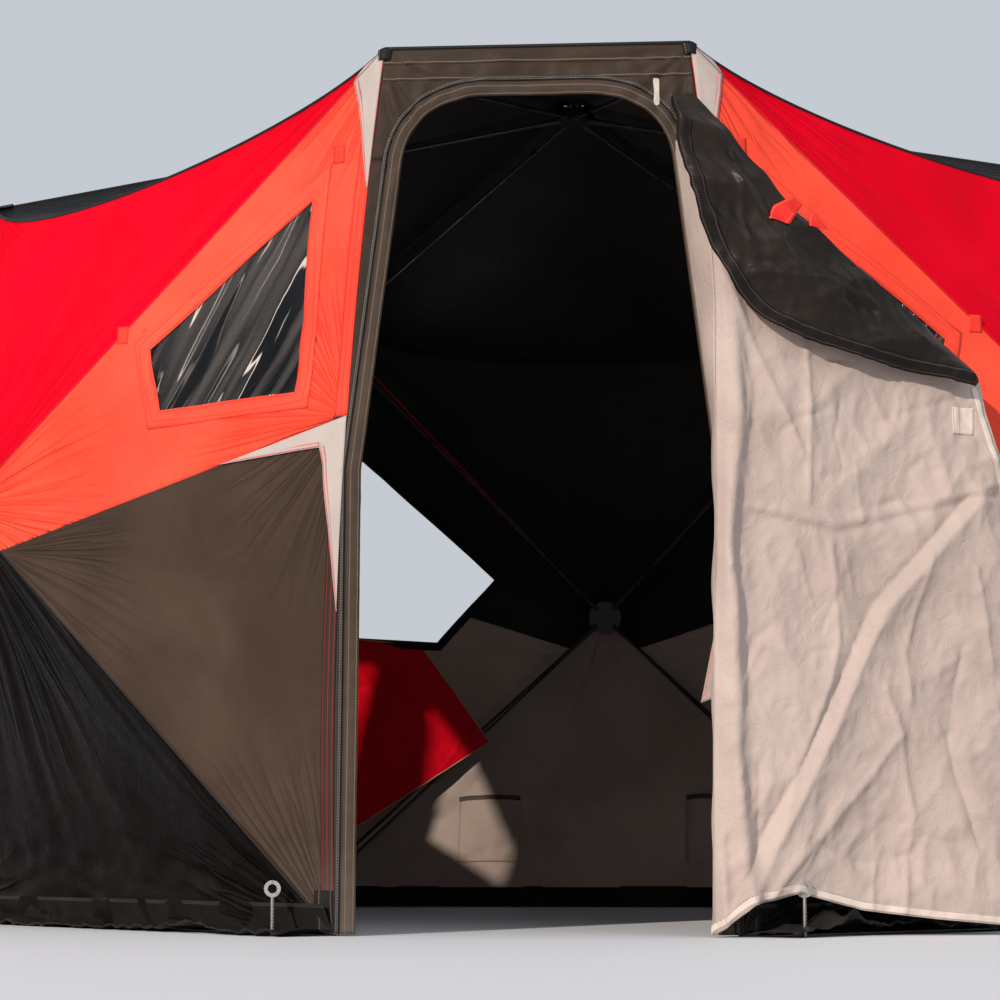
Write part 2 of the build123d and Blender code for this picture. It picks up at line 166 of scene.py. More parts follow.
# The studio: a pale floor that runs out to a pale surround, a warm key light from the
# front left, as low as winter sun, and a broad cool fill from above on the right. The
# key's direction follows from the window-shaped patch of light on the rear wall.
floor_mesh = bpy.data.meshes.new("floor")
floor_mesh.from_pydata([(-60, -60, 0), (60, -60, 0), (60, 60, 0), (-60, 60, 0)], [], [(0, 1, 2, 3)])
floor = bpy.data.objects.new("floor", floor_mesh)
bpy.context.collection.objects.link(floor)
pale = bpy.data.materials.new("floor")
pale.use_nodes = True
pale_sockets = pale.node_tree.nodes["Principled BSDF"].inputs
pale_sockets["Base Color"].default_value = (0.62, 0.63, 0.65, 1)
pale_sockets["Roughness"].default_value = 0.7
floor_mesh.materials.append(pale)
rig.stage(floor)

surround = bpy.data.worlds.new("surround")
surround.use_nodes = True
backdrop = surround.node_tree.nodes["Background"].inputs
backdrop["Color"].default_value = (0.80, 0.85, 0.92, 1)
backdrop["Strength"].default_value = 0.70
bpy.context.scene.world = surround
bpy.context.scene.view_settings.view_transform = "Standard"


def lamp(name, energy, angle, colour, elevation, azimuth):
    """A distant lamp that shines from an azimuth, in degrees from the doorway's side, and
    from an elevation."""
    light = bpy.data.lights.new(name, "SUN")
    light.energy = energy
    light.angle = np.radians(angle)
    light.color = colour
    holder = bpy.data.objects.new(name, light)
    holder.rotation_euler = (np.radians(90 - elevation), 0.0, np.radians(azimuth))
    bpy.context.collection.objects.link(holder)


lamp("key", 3.9, 1.0, (1.0, 0.89, 0.80), 22.5, -26)
lamp("fill", 0.5, 40.0, (0.85, 0.92, 1.0), 40, 30)

# The plan: five wide walls of two metres and a narrow door panel between the first and
# the last. Corner numbers run from the door's left edge round the back to its right.
wall_length, door_width, wall_height = 2.0, 0.85, 1.94
hub_height, hub_push, wall_lean, door_lean = 0.98, 0.41, 0.11, 0.065
roof_peak = 2.25
cloth_foot, door_edge_bow = 0.002, 0.045
# The level seam across a side panel: up from the hub, and out from it where it starts
seam_height, seam_root = 0.14, 0.12
door_turn = np.radians(50)
left_reach = wall_length / 2 - door_width / 2 - wall_length * np.cos(door_turn)
side_turn = np.arccos(left_reach / wall_length)
steps = wall_length * np.array([(-np.cos(turn), np.sin(turn)) for turn in (door_turn, side_turn)])
left_plan = np.array([(-door_width / 2, door_line)]) + np.vstack(([0, 0], np.cumsum(steps, axis=0)))
plan = np.vstack((left_plan, left_plan[::-1] * (-1, 1)))


def top_corner(number):
    """Where the leaning walls on both sides of a plan corner cross, at wall height."""
    sides = []
    for side in (number - 1, number):
        start, stop = plan[side % 6], plan[(side + 1) % 6]
        along = (stop - start) / np.linalg.norm(stop - start)
        inwards = np.array((along[1], -along[0]))
        sides.append((inwards, inwards @ start + (door_lean if side % 6 == 5 else wall_lean)))
    place = np.linalg.solve([side[0] for side in sides], [side[1] for side in sides])
    return np.append(place, wall_height)


base_corners = np.column_stack((plan, np.full(6, cloth_foot)))
top_corners = np.array([top_corner(number) for number in range(6)])
peak = np.array((0.0, (plan[0, 1] + plan[2, 1]) / 2, roof_peak))


class Wall:
    """One wide wall: its two base corners, two top corners, hub and outward direction."""

    def __init__(self, name, number):
        self.name = name
        self.number = number
        self.base = base_corners[number : number + 2]
        self.top = top_corners[number : number + 2]
        self.along = (self.base[1] - self.base[0]) / wall_length
        self.out = np.array((-self.along[1], self.along[0], 0.0))
        self.hub = self.base.mean(axis=0) * (1, 1, 0) + (0, 0, hub_height) + self.out * hub_push
        self.bow = [door_edge_bow * (corner in (0, 5)) for corner in (number, number + 1)]

    def corner_edge(self, end, share):
        """Points of the upright corner edge at shares of its height; beside the door it bows."""
        share = np.atleast_1d(share)[:, None]
        straight = self.base[end] + (self.top[end] - self.base[end]) * share
        aside = self.sideways(end)[0] * self.bow[end]
        return straight - aside * 4 * share * (1 - share)

    def sideways(self, end):
        """Unit vectors of a side panel: level from the hub to the corner, up, and outwards."""
        normal = np.cross(self.top[end] - self.hub, self.base[end] - self.hub)
        normal /= np.linalg.norm(normal)
        normal *= np.sign(normal @ self.out)
        level = np.cross((0, 0, 1), normal)
        level /= np.linalg.norm(level)
        level *= np.sign(level @ (self.base[end] - self.hub))
        rise = np.cross(normal, level)
        return level, rise * np.sign(rise[2]), normal

    def on_side(self, end, places):
        """Points of a side panel from places across and up in its plane, in metres from the hub."""
        level, rise = self.sideways(end)[:2]
        places = np.asarray(places, float)
        return self.hub + places[..., :1] * level + places[..., 1:] * rise

    def seam_share(self, end):
        """Height of the seam across a side panel, as a share of the corner edge."""
        rise = self.sideways(end)[1]
        low, high = (self.base[end] - self.hub) @ rise, (self.top[end] - self.hub) @ rise
        return (seam_height - low) / (high - low)

    def seam_start(self, end):
        """Where the seam across a side panel starts, on the lower pole."""
        foot = (self.base[end] - self.hub) @ np.column_stack(self.sideways(end)[:2])
        return self.on_side(end, foot * seam_root / foot[0])


wall_names = ("front_left", "left", "rear", "right", "front_right")
walls = [Wall(name, number) for number, name in enumerate(wall_names)]
wall_ends = [(wall, end) for wall in walls for end in (0, 1)]

# Top panels: the crimson triangle above each hub, coated nylon sewn to its neighbours
# over the two upper poles. Its free top edge sags, and creases fan out of its corners
# where the poles pull it tight.
top_sag, top_sag_reach = 0.14, 0.78


def cubic(start, pull_a, pull_b, stop, shares):
    """Points of a cubic curve at shares of it, from its ends and the two points that pull it."""
    t = np.asarray(shares)[:, None]
    start, pull_a, pull_b, stop = (np.asarray(point) for point in (start, pull_a, pull_b, stop))
    first_half = (1 - t) ** 3 * start + 3 * t * (1 - t) ** 2 * pull_a
    return first_half + 3 * t**2 * (1 - t) * pull_b + t**3 * stop


def sagging_edge(start, end, towards, shares):
    """A cubic curve between two top corners: its two inner control points stand level
    with each other, a sag's depth lower towards the hub."""
    middle, half = (start + end) / 2, (end - start) / 2
    down = (towards - middle) / np.linalg.norm(towards - middle)
    drop = down * (top_sag * 4 / 3 / abs(down[2]))
    pulls = [middle + half * reach + drop for reach in (-top_sag_reach, top_sag_reach)]
    return cubic(start, *pulls, end, shares)


def drift(points, pitch, seed, waves=22):
    """Smooth random heights of about -1 to 1: a sum of sine waves of one length that run
    in random directions and start at random phases."""
    rng = np.random.default_rng(seed)
    ways = rng.normal(size=(waves, points.shape[-1]))
    ways *= 2 * np.pi / pitch / np.linalg.norm(ways, axis=1, keepdims=True)
    waving = np.sin(points @ ways.T + rng.uniform(0, 2 * np.pi, waves))
    return waving.sum(axis=-1) / np.sqrt(waves)


def eased(value, low, high):
    """0 below low, 1 above high, and a smooth S between them."""
    share = np.clip((value - low) / (high - low), 0, 1)
    return share * share * (3 - 2 * share)


class Panel:
    """One flat cut of cloth between poles, and the creases that lift it off its plane."""

    # Creases at a corner, how far they reach, and the height of the soft folds
    creases, reach, rough = 20, 0.34, 0.0030

    def __init__(self, outline, outwards, seed, pulls, sag=0.014, fan=0.034, low=0.0):
        self.outline = np.asarray(outline, float)
        first, second, third = self.outline[[0, len(outline) // 3, 2 * len(outline) // 3]]
        normal = np.cross(second - first, third - first)
        self.normal = normal / np.linalg.norm(normal) * np.sign(normal @ outwards)
        self.origin = first
        side = np.cross((0, 0, 1), self.normal)
        self.side = side / np.linalg.norm(side)
        self.rise = np.cross(self.normal, self.side)
        self.seed = seed
        self.pulls = np.array(pulls)
        self.sag, self.fan, self.low = sag, fan, low

    def flat(self, points):
        """Places in the panel's own plane, across and up, in metres."""
        away = points - self.origin
        return np.stack((away @ self.side, away @ self.rise), axis=-1)

    def cut_size(self):
        """Width, height and area of the cut, laid flat."""
        flat = self.flat(self.outline)
        after = np.roll(flat, -1, axis=0)
        area = 0.5 * abs(np.sum(flat[:, 0] * after[:, 1] - flat[:, 1] * after[:, 0]))
        return (*np.ptp(flat, axis=0), area)

    def inset(self, points):
        """How far each point is from the panel's edge."""
        start = self.outline
        run = np.roll(start, -1, axis=0) - start
        away = points[..., None, :] - start
        share = np.clip((away * run).sum(-1) / np.maximum((run * run).sum(-1), 1e-12), 0, 1)
        return np.linalg.norm(away - share[..., None] * run, axis=-1).min(axis=-1)

    def fan_places(self, points):
        """The angle round the nearest pulling corner, and the distance from it as a share of
        the distance from the next one: 0 in the corner, 1 midway between two corners."""
        away = points[..., None, :] - self.pulls
        far = np.linalg.norm(away, axis=-1)
        nearest, following = np.moveaxis(np.sort(far, axis=-1)[..., :2], -1, 0)
        inward = self.outline.mean(axis=0) - self.pulls
        aside = np.cross(self.normal, inward)
        angle = np.arctan2((away * aside).sum(axis=-1), (away * inward).sum(axis=-1))
        # Each corner's angles have a range of their own, so that no two fans look alike
        angle += 9.0 * np.arange(len(self.pulls))
        angle = np.take_along_axis(angle, far.argmin(axis=-1)[..., None], axis=-1)[..., 0]
        return np.stack((angle, nearest / following), axis=-1)

    def lift(self, points, above=0.0):
        """The points moved along the panel's normal: sagged inwards away from the seams,
        raised by sharp creases that fan out of each pulling corner and die away, by long
        soft folds, and by small puckers beside the seams."""
        points = np.asarray(points, float)
        inset = self.inset(points)
        places = self.flat(points)
        height = -self.sag * eased(inset, 0.0, 0.30)
        for number, pull in enumerate(self.pulls):
            rng = np.random.default_rng(self.seed + 31 * number)
            away = points - pull
            far = np.linalg.norm(away, axis=-1)
            inward = self.outline.mean(axis=0) - pull
            angle = np.arctan2(away @ self.rise, away @ self.side)
            angle -= np.arctan2(inward @ self.rise, inward @ self.side)
            rays, sizes = rng.uniform(-0.8, 0.8, self.creases), rng.uniform(-1.0, 1.0, self.creases)
            aside = np.abs(far[..., None] * np.sin(angle[..., None] - rays))
            widths = 0.004 + far[..., None] * rng.uniform(0.012, 0.06, self.creases)
            ridges = (np.exp(-aside / widths) * sizes).sum(axis=-1)
            height += self.fan * far * np.exp(-far / self.reach) * ridges
        folds = drift(places * (1.0, 0.55), 0.34, self.seed + 7)
        crumple = 1 - np.abs(drift(places, 0.13, self.seed + 8))
        where = eased(drift(places, 0.6, self.seed + 9), -0.3, 0.8)
        height += self.rough * (1.1 * folds + 0.5 * crumple * where)
        low_crumple = 1 - np.abs(drift(places * (0.6, 1.0), 0.10, self.seed + 11))
        height += self.low * low_crumple * np.exp(-points[..., 2] / 0.16)
        height *= eased(inset, 0.0, 0.05)
        pucker = drift(places, 0.030, self.seed + 10) * np.exp(-inset / 0.022)
        pucker *= eased(inset, 0.0, 0.006)
        return points + self.normal * (height + 0.0004 * pucker + above)[..., None]


def grid_mesh(name, grids, places, outwards=None, fans=None):
    """A mesh of several grids of points (rows, columns, 3), whose UV map holds the places
    (rows, columns, 2) of the same grids, in metres, and whose second UV map may hold fan
    places. Doubled points are merged."""
    sheet = bmesh.new()
    maps = {"metres": places, "fan": fans} if fans else {"metres": places}
    for key in maps:
        sheet.loops.layers.uv.new(key)
    for number, grid in enumerate(grids):
        rows, columns = grid.shape[:2]
        index = np.arange(rows * columns).reshape(rows, columns)
        corners = (index[:-1, :-1], index[:-1, 1:], index[1:, 1:], index[1:, :-1])
        quads = np.stack(corners, axis=-1).reshape(-1, 4)
        if outwards is not None:
            first, second, third, fourth = np.moveaxis(grid.reshape(-1, 3)[quads], 1, 0)
            facing = np.cross(third - first, fourth - second) @ outwards[number]
            if facing.sum() < 0:
                quads = quads[:, ::-1]
        part = bpy.data.meshes.new(name)
        part.from_pydata(grid.reshape(-1, 3), [], quads)
        for key, values in maps.items():
            layer = part.uv_layers.new(name=key)
            layer.data.foreach_set("uv", values[number].reshape(-1, 2)[quads].ravel())
        sheet.from_mesh(part)
        bpy.data.meshes.remove(part)
    bmesh.ops.remove_doubles(sheet, verts=sheet.verts, dist=1e-5)
    bmesh.ops.dissolve_degenerate(sheet, edges=sheet.edges, dist=1e-6)
    mesh = bpy.data.meshes.new(name)
    sheet.to_mesh(mesh)
    sheet.free()
    mesh.shade_smooth()
    return mesh


def between(first, last, count):
    """Evenly spaced points from the first to the last, ends included."""
    share = np.linspace(0, 1, count)[:, None]
    return first + (last - first) * share


def patch(edge_a, edge_b, rows):
    """A ruled grid from one row of points to another."""
    share = np.linspace(0, 1, rows)[:, None, None]
    return edge_a[None] * (1 - share) + edge_b[None] * share


def spread(point, edge, rows):
    """A grid that spreads from one point to a row of points."""
    return point + (edge[None] - point) * np.linspace(0, 1, rows)[:, None, None]


def square_to(run, normal, towards):
    """The unit vector that lies in a panel, square to a run, on the side of another vector."""
    facing = np.cross(normal, run)
    return facing * (np.sign(facing @ towards) / np.linalg.norm(facing))


class Tone:
    """A number or colour on its way through a material's nodes. Sums, products and
    powers of tones and plain numbers add Math nodes."""

    def __init__(self, tree, socket=None):
        self.tree, self.socket = tree, socket

    def node(self, kind, settings, sockets, output=0):
        """Add a node of a kind: its settings first, then its sockets."""
        node = self.tree.nodes.new(kind)
        for key, value in settings.items():
            setattr(node, key, value)
        for key, value in sockets.items():
            if isinstance(value, Tone):
                self.tree.links.new(value.socket, node.inputs[key])
            else:
                node.inputs[key].default_value = value
        return Tone(self.tree, node.outputs[output])

    def math(self, operation, *values):
        return self.node("ShaderNodeMath", {"operation": operation}, dict(enumerate(values)))

    def __add__(self, other):
        return self.math("ADD", self, other)

    def __sub__(self, other):
        return self.math("SUBTRACT", self, other)

    def __rsub__(self, other):
        return self.math("SUBTRACT", other, self)

    def __mul__(self, other):
        return self.math("MULTIPLY", self, other)

    def __pow__(self, other):
        return self.math("POWER", self, other)

    __radd__, __rmul__ = __add__, __mul__

    def sine(self):
        return self.math("SINE", self)

    def size(self):
        return self.math("ABSOLUTE", self)

    def crest(self):
        """1 where this tone crosses one half, and falling away on both sides."""
        return 1 - (self - 0.5).size() * 2

    def step(self, low, high):
        """0 below low, 1 above high, smooth between; high may be the smaller one."""
        settings = {"interpolation_type": "SMOOTHSTEP", "clamp": True}
        sockets = {"Value": self, "From Min": low, "From Max": high, "To Min": 0.0, "To Max": 1.0}
        return self.node("ShaderNodeMapRange", settings, sockets)

    def mix(self, low, high):
        """A colour from low to high by this tone."""
        sockets = {"Factor": self, 6: low, 7: high}
        return self.node("ShaderNodeMix", {"data_type": "RGBA"}, sockets, output=2)

    def noise(self, scale, detail=3.0, rough=0.5, warp=0.0):
        """Cloudy noise on a place."""
        sockets = {"Vector": self, "Scale": scale, "Detail": detail, "Roughness": rough}
        return self.node("ShaderNodeTexNoise", {}, {**sockets, "Distortion": warp})

    def part(self, axis):
        """One coordinate of a place: 0, 1 or 2."""
        return self.node("ShaderNodeSeparateXYZ", {}, {"Vector": self}, output=axis)

    def at(self, first, second):
        """A place from two coordinates."""
        return self.node("ShaderNodeCombineXYZ", {}, {"X": first, "Y": second})

    def bump(self, strength, distance):
        """The normal of a surface that this tone raises."""
        sockets = {"Height": self, "Strength": strength, "Distance": distance}
        return self.node("ShaderNodeBump", {}, sockets)


def finish_of(name, **constants):
    """A new material, with plain numbers set on its shader. Gives it, and a tone that
    starts from object coordinates and one that starts from the UV map."""
    material = bpy.data.materials.new(name)
    material.use_nodes = True
    for key, value in constants.items():
        shader = material.node_tree.nodes["Principled BSDF"]
        shader.inputs[key.replace("_", " ")].default_value = value
    place = Tone(material.node_tree).node("ShaderNodeTexCoord", {}, {}, output=3)
    return material, place, Tone(material.node_tree, place.socket.node.outputs["UV"])


def feed(material, **tones):
    """Link tones to the sockets of a material's shader that they are named for."""
    shader = material.node_tree.nodes["Principled BSDF"]
    for key, tone in tones.items():
        tone.tree.links.new(tone.socket, shader.inputs[key.replace("_", " ")])


def rgb(red, green, blue):
    """A colour as the eye names it, 0 to 255, in the shader's linear light."""
    return tuple((np.array((red, green, blue)) / 255.0) ** 2.2) + (1.0,)


def darker(colour, share):
    """A colour at a share of its brightness."""
    return tuple(part * share for part in colour[:3]) + (1.0,)


# How fast the phase of a row of stitches turns along it, for a dash every 6 mm
dash_turn = 1047.0


def cloth(name, colour, shade, roughness=0.55, gloss=0.22, crinkle=0.35, weave=1400.0,
          dust=0.0, foot=0.0, thread=None, rows=(), fan=0.0):
    """Coated woven nylon. Its colour drifts between two shades over a hand's breadth, fine
    crinkles and a plain weave of two crossed waves stand in its bump, the coating is a
    little uneven in its gloss, and dust pales the lowest part. Below a foot's height its
    colour is near-black. Rows of thread run along the UV map's first axis at the given
    places across it, as dashes of 6 mm. A fan adds sharp creases that run out of the
    pulling corners, where a noise of the fan places crosses its middle, and darkens the
    colour along them as painted shade."""
    material, place, uv = finish_of(name, Specular_IOR_Level=gloss)
    broad = place.noise(3.1, 4.0, 0.55, 0.3).step(0.30, 0.72)
    fine = place.noise(62.0, 3.0, 0.6)
    along, across = uv.part(0), uv.part(1)
    yarn = (across * weave).sine() * (along * weave).sine()
    speck = place.noise(260.0, 2.0, 0.7).step(0.35, 0.75)
    base = (broad * 0.75 + fine * 0.25).mix(shade, colour)
    base = (speck * 0.16).mix(base, darker(colour, 0.55))
    if dust:
        height = place.part(2) + place.noise(14.0, 4.0, 0.65) * 0.14
        base = (height.step(0.30, 0.02) * dust).mix(base, rgb(150, 146, 140))
    # Below the foot's height the colour is near-black.
    if foot:
        base = place.part(2).step(foot + 0.002, foot - 0.002).mix(base, rgb(22, 21, 21))
    ridge = place.noise(17.0, 5.0, 0.62, 1.6).crest()
    height = ridge * crinkle + fine * 0.10 + yarn * 0.012
    if fan:
        corner = place.node("ShaderNodeUVMap", {"uv_map": "fan"}, {})
        share = corner.part(1)
        rays = corner.at(corner.part(0) * 9.0, share * 1.1).noise(1.0, 2.0, 0.5, 0.3)
        # Sharp creases raise the bump, and the colour is darkened along them: painted shade in the creases.
        crease_with_painted_shade = rays.crest() ** 8.0 * share.step(0.84, 0.15) * share.step(0.0, 0.06)
        height = height + crease_with_painted_shade * fan
        base = (crease_with_painted_shade * 0.5).mix(base, darker(shade, 0.72))
    if thread:
        dash = (along * dash_turn).sine().step(-0.75, -0.35)
        stitch = 0
        for row in rows:
            stitch = (across - row).size().step(0.0015, 0.0007) * dash + stitch
        base = stitch.mix(base, thread)
        height = height + stitch * 0.5
    shine = fine.step(0.25, 0.75) * 0.14 + (roughness - 0.07)
    feed(material, Base_Color=base, Roughness=shine, Normal=height.bump(0.55, 0.004))
    return material


def sewn(name, mesh, finishes, thickness=0.0016, offset=1.0):
    """A piece of cloth: its mesh gets a thin wall outwards, with the lining on its inner side."""
    piece = bpy.data.objects.new(name, mesh)
    for finish in finishes:
        mesh.materials.append(finish)
    bpy.context.collection.objects.link(piece)
    wall = piece.modifiers.new("cloth", "SOLIDIFY")
    wall.thickness = thickness
    wall.offset = offset
    wall.use_even_offset = False
    if len(finishes) > 1:
        wall.material_offset = 1
    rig.ride(piece, "root")
    return piece


def flat_size(places):
    """The smallest rectangle round a grid of cloth that is laid flat, turned in steps of a
    degree, and the area of the cloth itself."""
    first, second = places[1:, 1:] - places[:-1, :-1], places[1:, :-1] - places[:-1, 1:]
    area = 0.5 * np.abs(first[..., 0] * second[..., 1] - first[..., 1] * second[..., 0]).sum()
    boxes = []
    for turn in np.radians(np.arange(90)):
        cos, sin = np.cos(turn), np.sin(turn)
        turned = places.reshape(-1, 2) @ np.array(((cos, -sin), (sin, cos)))
        boxes.append(sorted(np.ptp(turned, axis=0)))
    width, length = min(boxes, key=lambda box: box[0] * box[1])
    return {"flat": (float(width), float(length)), "area": float(area)}


def cut_mesh(cut, grid, outwards):
    """A flat mesh of a panel's cut, with its places and its fan places as UV maps."""
    return grid_mesh("cut", [grid], [cut.flat(grid)], [outwards], [cut.fan_places(grid)])


def lifted(mesh, cut):
    """Raise a flat mesh into its panel's creases."""
    points = np.empty(len(mesh.vertices) * 3)
    mesh.vertices.foreach_get("co", points)
    mesh.vertices.foreach_set("co", cut.lift(points.reshape(-1, 3)).ravel())
    mesh.update()


def from_parts(name, parts, finishes, thickness=0.0016, **how):
    """One sewn piece from a list of grids, their places and outward directions."""
    grids, places, ways = zip(*parts)
    return sewn(name, grid_mesh(name, grids, places, ways), finishes, thickness, **how)


crimson = cloth("crimson_nylon", rgb(226, 0, 38), rgb(196, 0, 30), roughness=0.75, gloss=0.02,
                crinkle=0.36, fan=2.6)
# Inner side of the top, side and roof cloths and of the door panel: the lining is painted near-black as the shade that
# fills the upper inside of the shelter.
dark_lining = cloth("dark_lining", rgb(36, 33, 31), rgb(24, 22, 21), roughness=0.6, crinkle=0.4)

top_cuts = {}
for wall in walls:
    edge = sagging_edge(*wall.top, wall.hub, np.linspace(0, 1, 81))
    corners = (wall.hub, edge[0], edge[-1])
    cut = Panel(np.vstack((wall.hub, edge)), wall.out, 100 + wall.number, corners, sag=0.010)
    top_cuts[wall.name] = cut
    # Rows run from the hub to the free edge
    grid = spread(wall.hub, edge, 64)
    maps = [cut.flat(grid)], [wall.out], [cut.fan_places(grid)]
    mesh = grid_mesh("cut", [cut.lift(grid)], *maps)
    piece = sewn(wall.name + "_top_cloth", mesh, (crimson, dark_lining))
    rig.replaces(piece, wall.name + "_top_panel")
    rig.slot(piece, "crimson_cloth")
    width, height, area = cut.cut_size()
    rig.sheet(piece, flat=(width, height), held="stretched", rests_on=["wall_poles"], area=area)


# Side panels: orange-red nylon from the hub to each corner, with a film window, above a
# seam that runs out level from the lower pole; below it a cut of dark olive cloth that
# tapers to the foot of the corner.
window_places = np.array([(0.959, 0.644), (0.925, 0.202), (0.549, 0.189), (0.521, 0.336)])
rear_window_places = np.array([(1.0, 0.577), (1.0, -0.09), (0.619, -0.1), (0.415, 0.12)])
orange = cloth("orange_nylon", rgb(236, 84, 62), rgb(222, 62, 46), gloss=0.10, crinkle=0.32,
               fan=3.2)
olive = cloth("olive_nylon", rgb(70, 57, 48), rgb(55, 44, 37), roughness=0.58, gloss=0.08,
              crinkle=0.45, dust=0.12, fan=2.0)
tan_lining = cloth("tan_lining", rgb(176, 159, 148), rgb(150, 134, 124), roughness=0.7,
                   crinkle=0.45, foot=0.065)


def is_open(wall, end):
    """The rear wall's left window has its cover unzipped."""
    return wall.name == "rear" and end == 0


def opened(mesh, outline, normal):
    """Cut an opening out of a flat mesh: slice it along each side of the outline, then
    take out the faces that lie inside all sides."""
    sheet = bmesh.new()
    sheet.from_mesh(mesh)
    middle = outline.mean(axis=0)
    sides = []
    for start, stop in zip(outline, np.roll(outline, -1, axis=0)):
        facing = square_to(stop - start, normal, middle - start)
        sides.append((start, facing))
        everything = sheet.verts[:] + sheet.edges[:] + sheet.faces[:]
        bmesh.ops.bisect_plane(sheet, geom=everything, plane_co=start, plane_no=facing)
    centres = np.array([face.calc_center_median() for face in sheet.faces])
    inside = np.all([(centres - start) @ facing > 0 for start, facing in sides], axis=0)
    doomed = [face for face, gone in zip(sheet.faces[:], inside) if gone]
    bmesh.ops.delete(sheet, geom=doomed, context="FACES")
    sheet.to_mesh(mesh)
    sheet.free()


def joined(name, meshes):
    """Several meshes as one, with their UV maps kept."""
    whole = bmesh.new()
    for part in meshes:
        whole.from_mesh(part)
        bpy.data.meshes.remove(part)
    mesh = bpy.data.meshes.new(name)
    whole.to_mesh(mesh)
    whole.free()
    mesh.shade_smooth()
    return mesh


side_cuts, lower_cuts = {}, {}
edge_rows = 60  # points along the side panel's corner edge and along its upper pole
side_rows = 52
for wall in walls:
    meshes = {"side": [], "lower": []}
    areas = {"side": 0.0, "lower": 0.0}
    for end in (0, 1):
        normal = wall.sideways(end)[2]
        share, start = wall.seam_share(end), wall.seam_start(end)
        edge = wall.corner_edge(end, np.linspace(1, share, edge_rows))
        seed = 200 + 10 * wall.number + end
        corners = (wall.hub, edge[0], edge[-1])
        side_cut = Panel(np.vstack((wall.hub, edge, start)), wall.out, seed, corners)
        upper_line = between(wall.hub, edge[0], edge_rows)
        seam = between(start, edge[-1], side_rows)
        lower_line = np.vstack((between(wall.hub, start, 9), seam[1:]))
        side_grid = patch(upper_line, lower_line, side_rows)
        # The grid's last column follows the bow of the corner edge, and the others share it
        bowed = edge - between(edge[0], edge[-1], edge_rows)
        bowed = bowed[np.linspace(0, edge_rows - 1, side_rows).round().astype(int)]
        side_grid += bowed[:, None] * np.linspace(0, 1, edge_rows)[None, :, None]

        foot = wall.corner_edge(end, np.linspace(share, 0, 54))
        corners = (start, foot[0], foot[-1])
        lower_cut = Panel(np.vstack((start, foot)), wall.out, seed + 5, corners, sag=0.012)
        side_cuts[wall.name, end], lower_cuts[wall.name, end] = side_cut, lower_cut
        for kind, cut, grid in (
            ("side", side_cut, side_grid),
            ("lower", lower_cut, spread(start, foot, 54)),
        ):
            mesh = cut_mesh(cut, grid, wall.out)
            if is_open(wall, end):
                opened(mesh, wall.on_side(end, rear_window_places), normal)
            elif kind == "side":
                opened(mesh, wall.on_side(end, window_places), normal)
            areas[kind] += sum(face.area for face in mesh.polygons)
            lifted(mesh, cut)
            meshes[kind].append(mesh)

    for kind, cuts, finishes, node_slot in (
        ("side", side_cuts, (orange, dark_lining), "orange_cloth"),
        ("lower", lower_cuts, (olive, tan_lining), "olive_cloth"),
    ):
        name = f"{wall.name}_{kind}_cloth"
        piece = sewn(name, joined(name, meshes[kind]), finishes)
        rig.replaces(piece, f"{wall.name}_{kind}_panels")
        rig.slot(piece, node_slot)
        sizes = [cuts[wall.name, end].cut_size() for end in (0, 1)]
        flat = max(size[0] for size in sizes), sum(size[1] for size in sizes)
        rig.sheet(piece, flat=flat, held="stretched", rests_on=["wall_poles"], area=areas[kind])

# Bottom panels: the near-black satin triangle under each hub, which takes the wear of
# the ice and shows long creases up towards the hub.
black_satin = cloth("black_satin", rgb(20, 14, 10), rgb(12, 8, 5), roughness=0.40, gloss=0.04,
                    crinkle=0.6, dust=0.04, fan=2.2)
bottom_cuts = {}
for wall in walls:
    foot = between(*wall.base, 70)
    corners = (wall.hub, foot[0], foot[-1])
    outline = np.vstack((wall.hub, foot))
    cut = Panel(outline, wall.out, 300 + wall.number, corners, fan=0.040, low=0.010)
    bottom_cuts[wall.name] = cut
    mesh = cut_mesh(cut, spread(wall.hub, foot, 64), wall.out)
    lifted(mesh, cut)
    piece = sewn(wall.name + "_bottom_cloth", mesh, (black_satin, tan_lining))
    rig.replaces(piece, wall.name + "_bottom_panel")
    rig.slot(piece, "dark_cloth")
    width, height, area = cut.cut_size()
    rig.sheet(piece, flat=(width, height), held="stretched", rests_on=["wall_poles"], area=area)

# Roof: black coated cloth in six cuts from the hub on top to the walls' sagging edges,
# pulled down a little between the roof poles.
roof_black = cloth("roof_nylon", rgb(24, 24, 26), rgb(16, 16, 18), gloss=0.1, crinkle=0.4, fan=1.4)
roof_fans, roof_grids, roof_places, roof_ways, roof_area = [], [], [], [], 0.0
roof_ring = 0.03  # radius of the hole under the roof hub
for number in range(6):
    first, last = top_corners[number], top_corners[(number + 1) % 6]
    if number < 5:
        edge = sagging_edge(first, last, walls[number].hub, np.linspace(0, 1, 55))
    else:
        edge = between(first, last, 55)
    ring = peak + (edge - peak) * (roof_ring / np.linalg.norm(edge - peak, axis=1))[:, None]
    grid = patch(ring, edge, 40)
    up = np.cross(last - first, peak - first)
    up /= np.linalg.norm(up) * np.sign(up[2])
    cut = Panel(np.vstack((peak, edge)), up, 400 + number, (peak, first, last), sag=0.0, fan=0.020)
    inset = cut.inset(grid)
    places = cut.flat(grid)
    wave = 0.004 * drift(places, 0.5, 410 + number) * eased(inset, 0, 0.25)
    away = np.linalg.norm(grid - first, axis=-1)
    wave = wave + 0.004 * np.sin(away * 38) * np.exp(-away / 0.35) * eased(inset, 0, 0.06)
    roof_grids.append(grid + (0, 0, 1) * (wave - 0.016 * eased(inset, 0.0, 0.3))[..., None])
    roof_places.append(places)
    roof_fans.append(cut.fan_places(grid))
    roof_ways.append(up)
    down, over = grid[1:, :-1] - grid[:-1, :-1], grid[:-1, 1:] - grid[:-1, :-1]
    roof_area += np.linalg.norm(np.cross(down, over), axis=-1).sum()
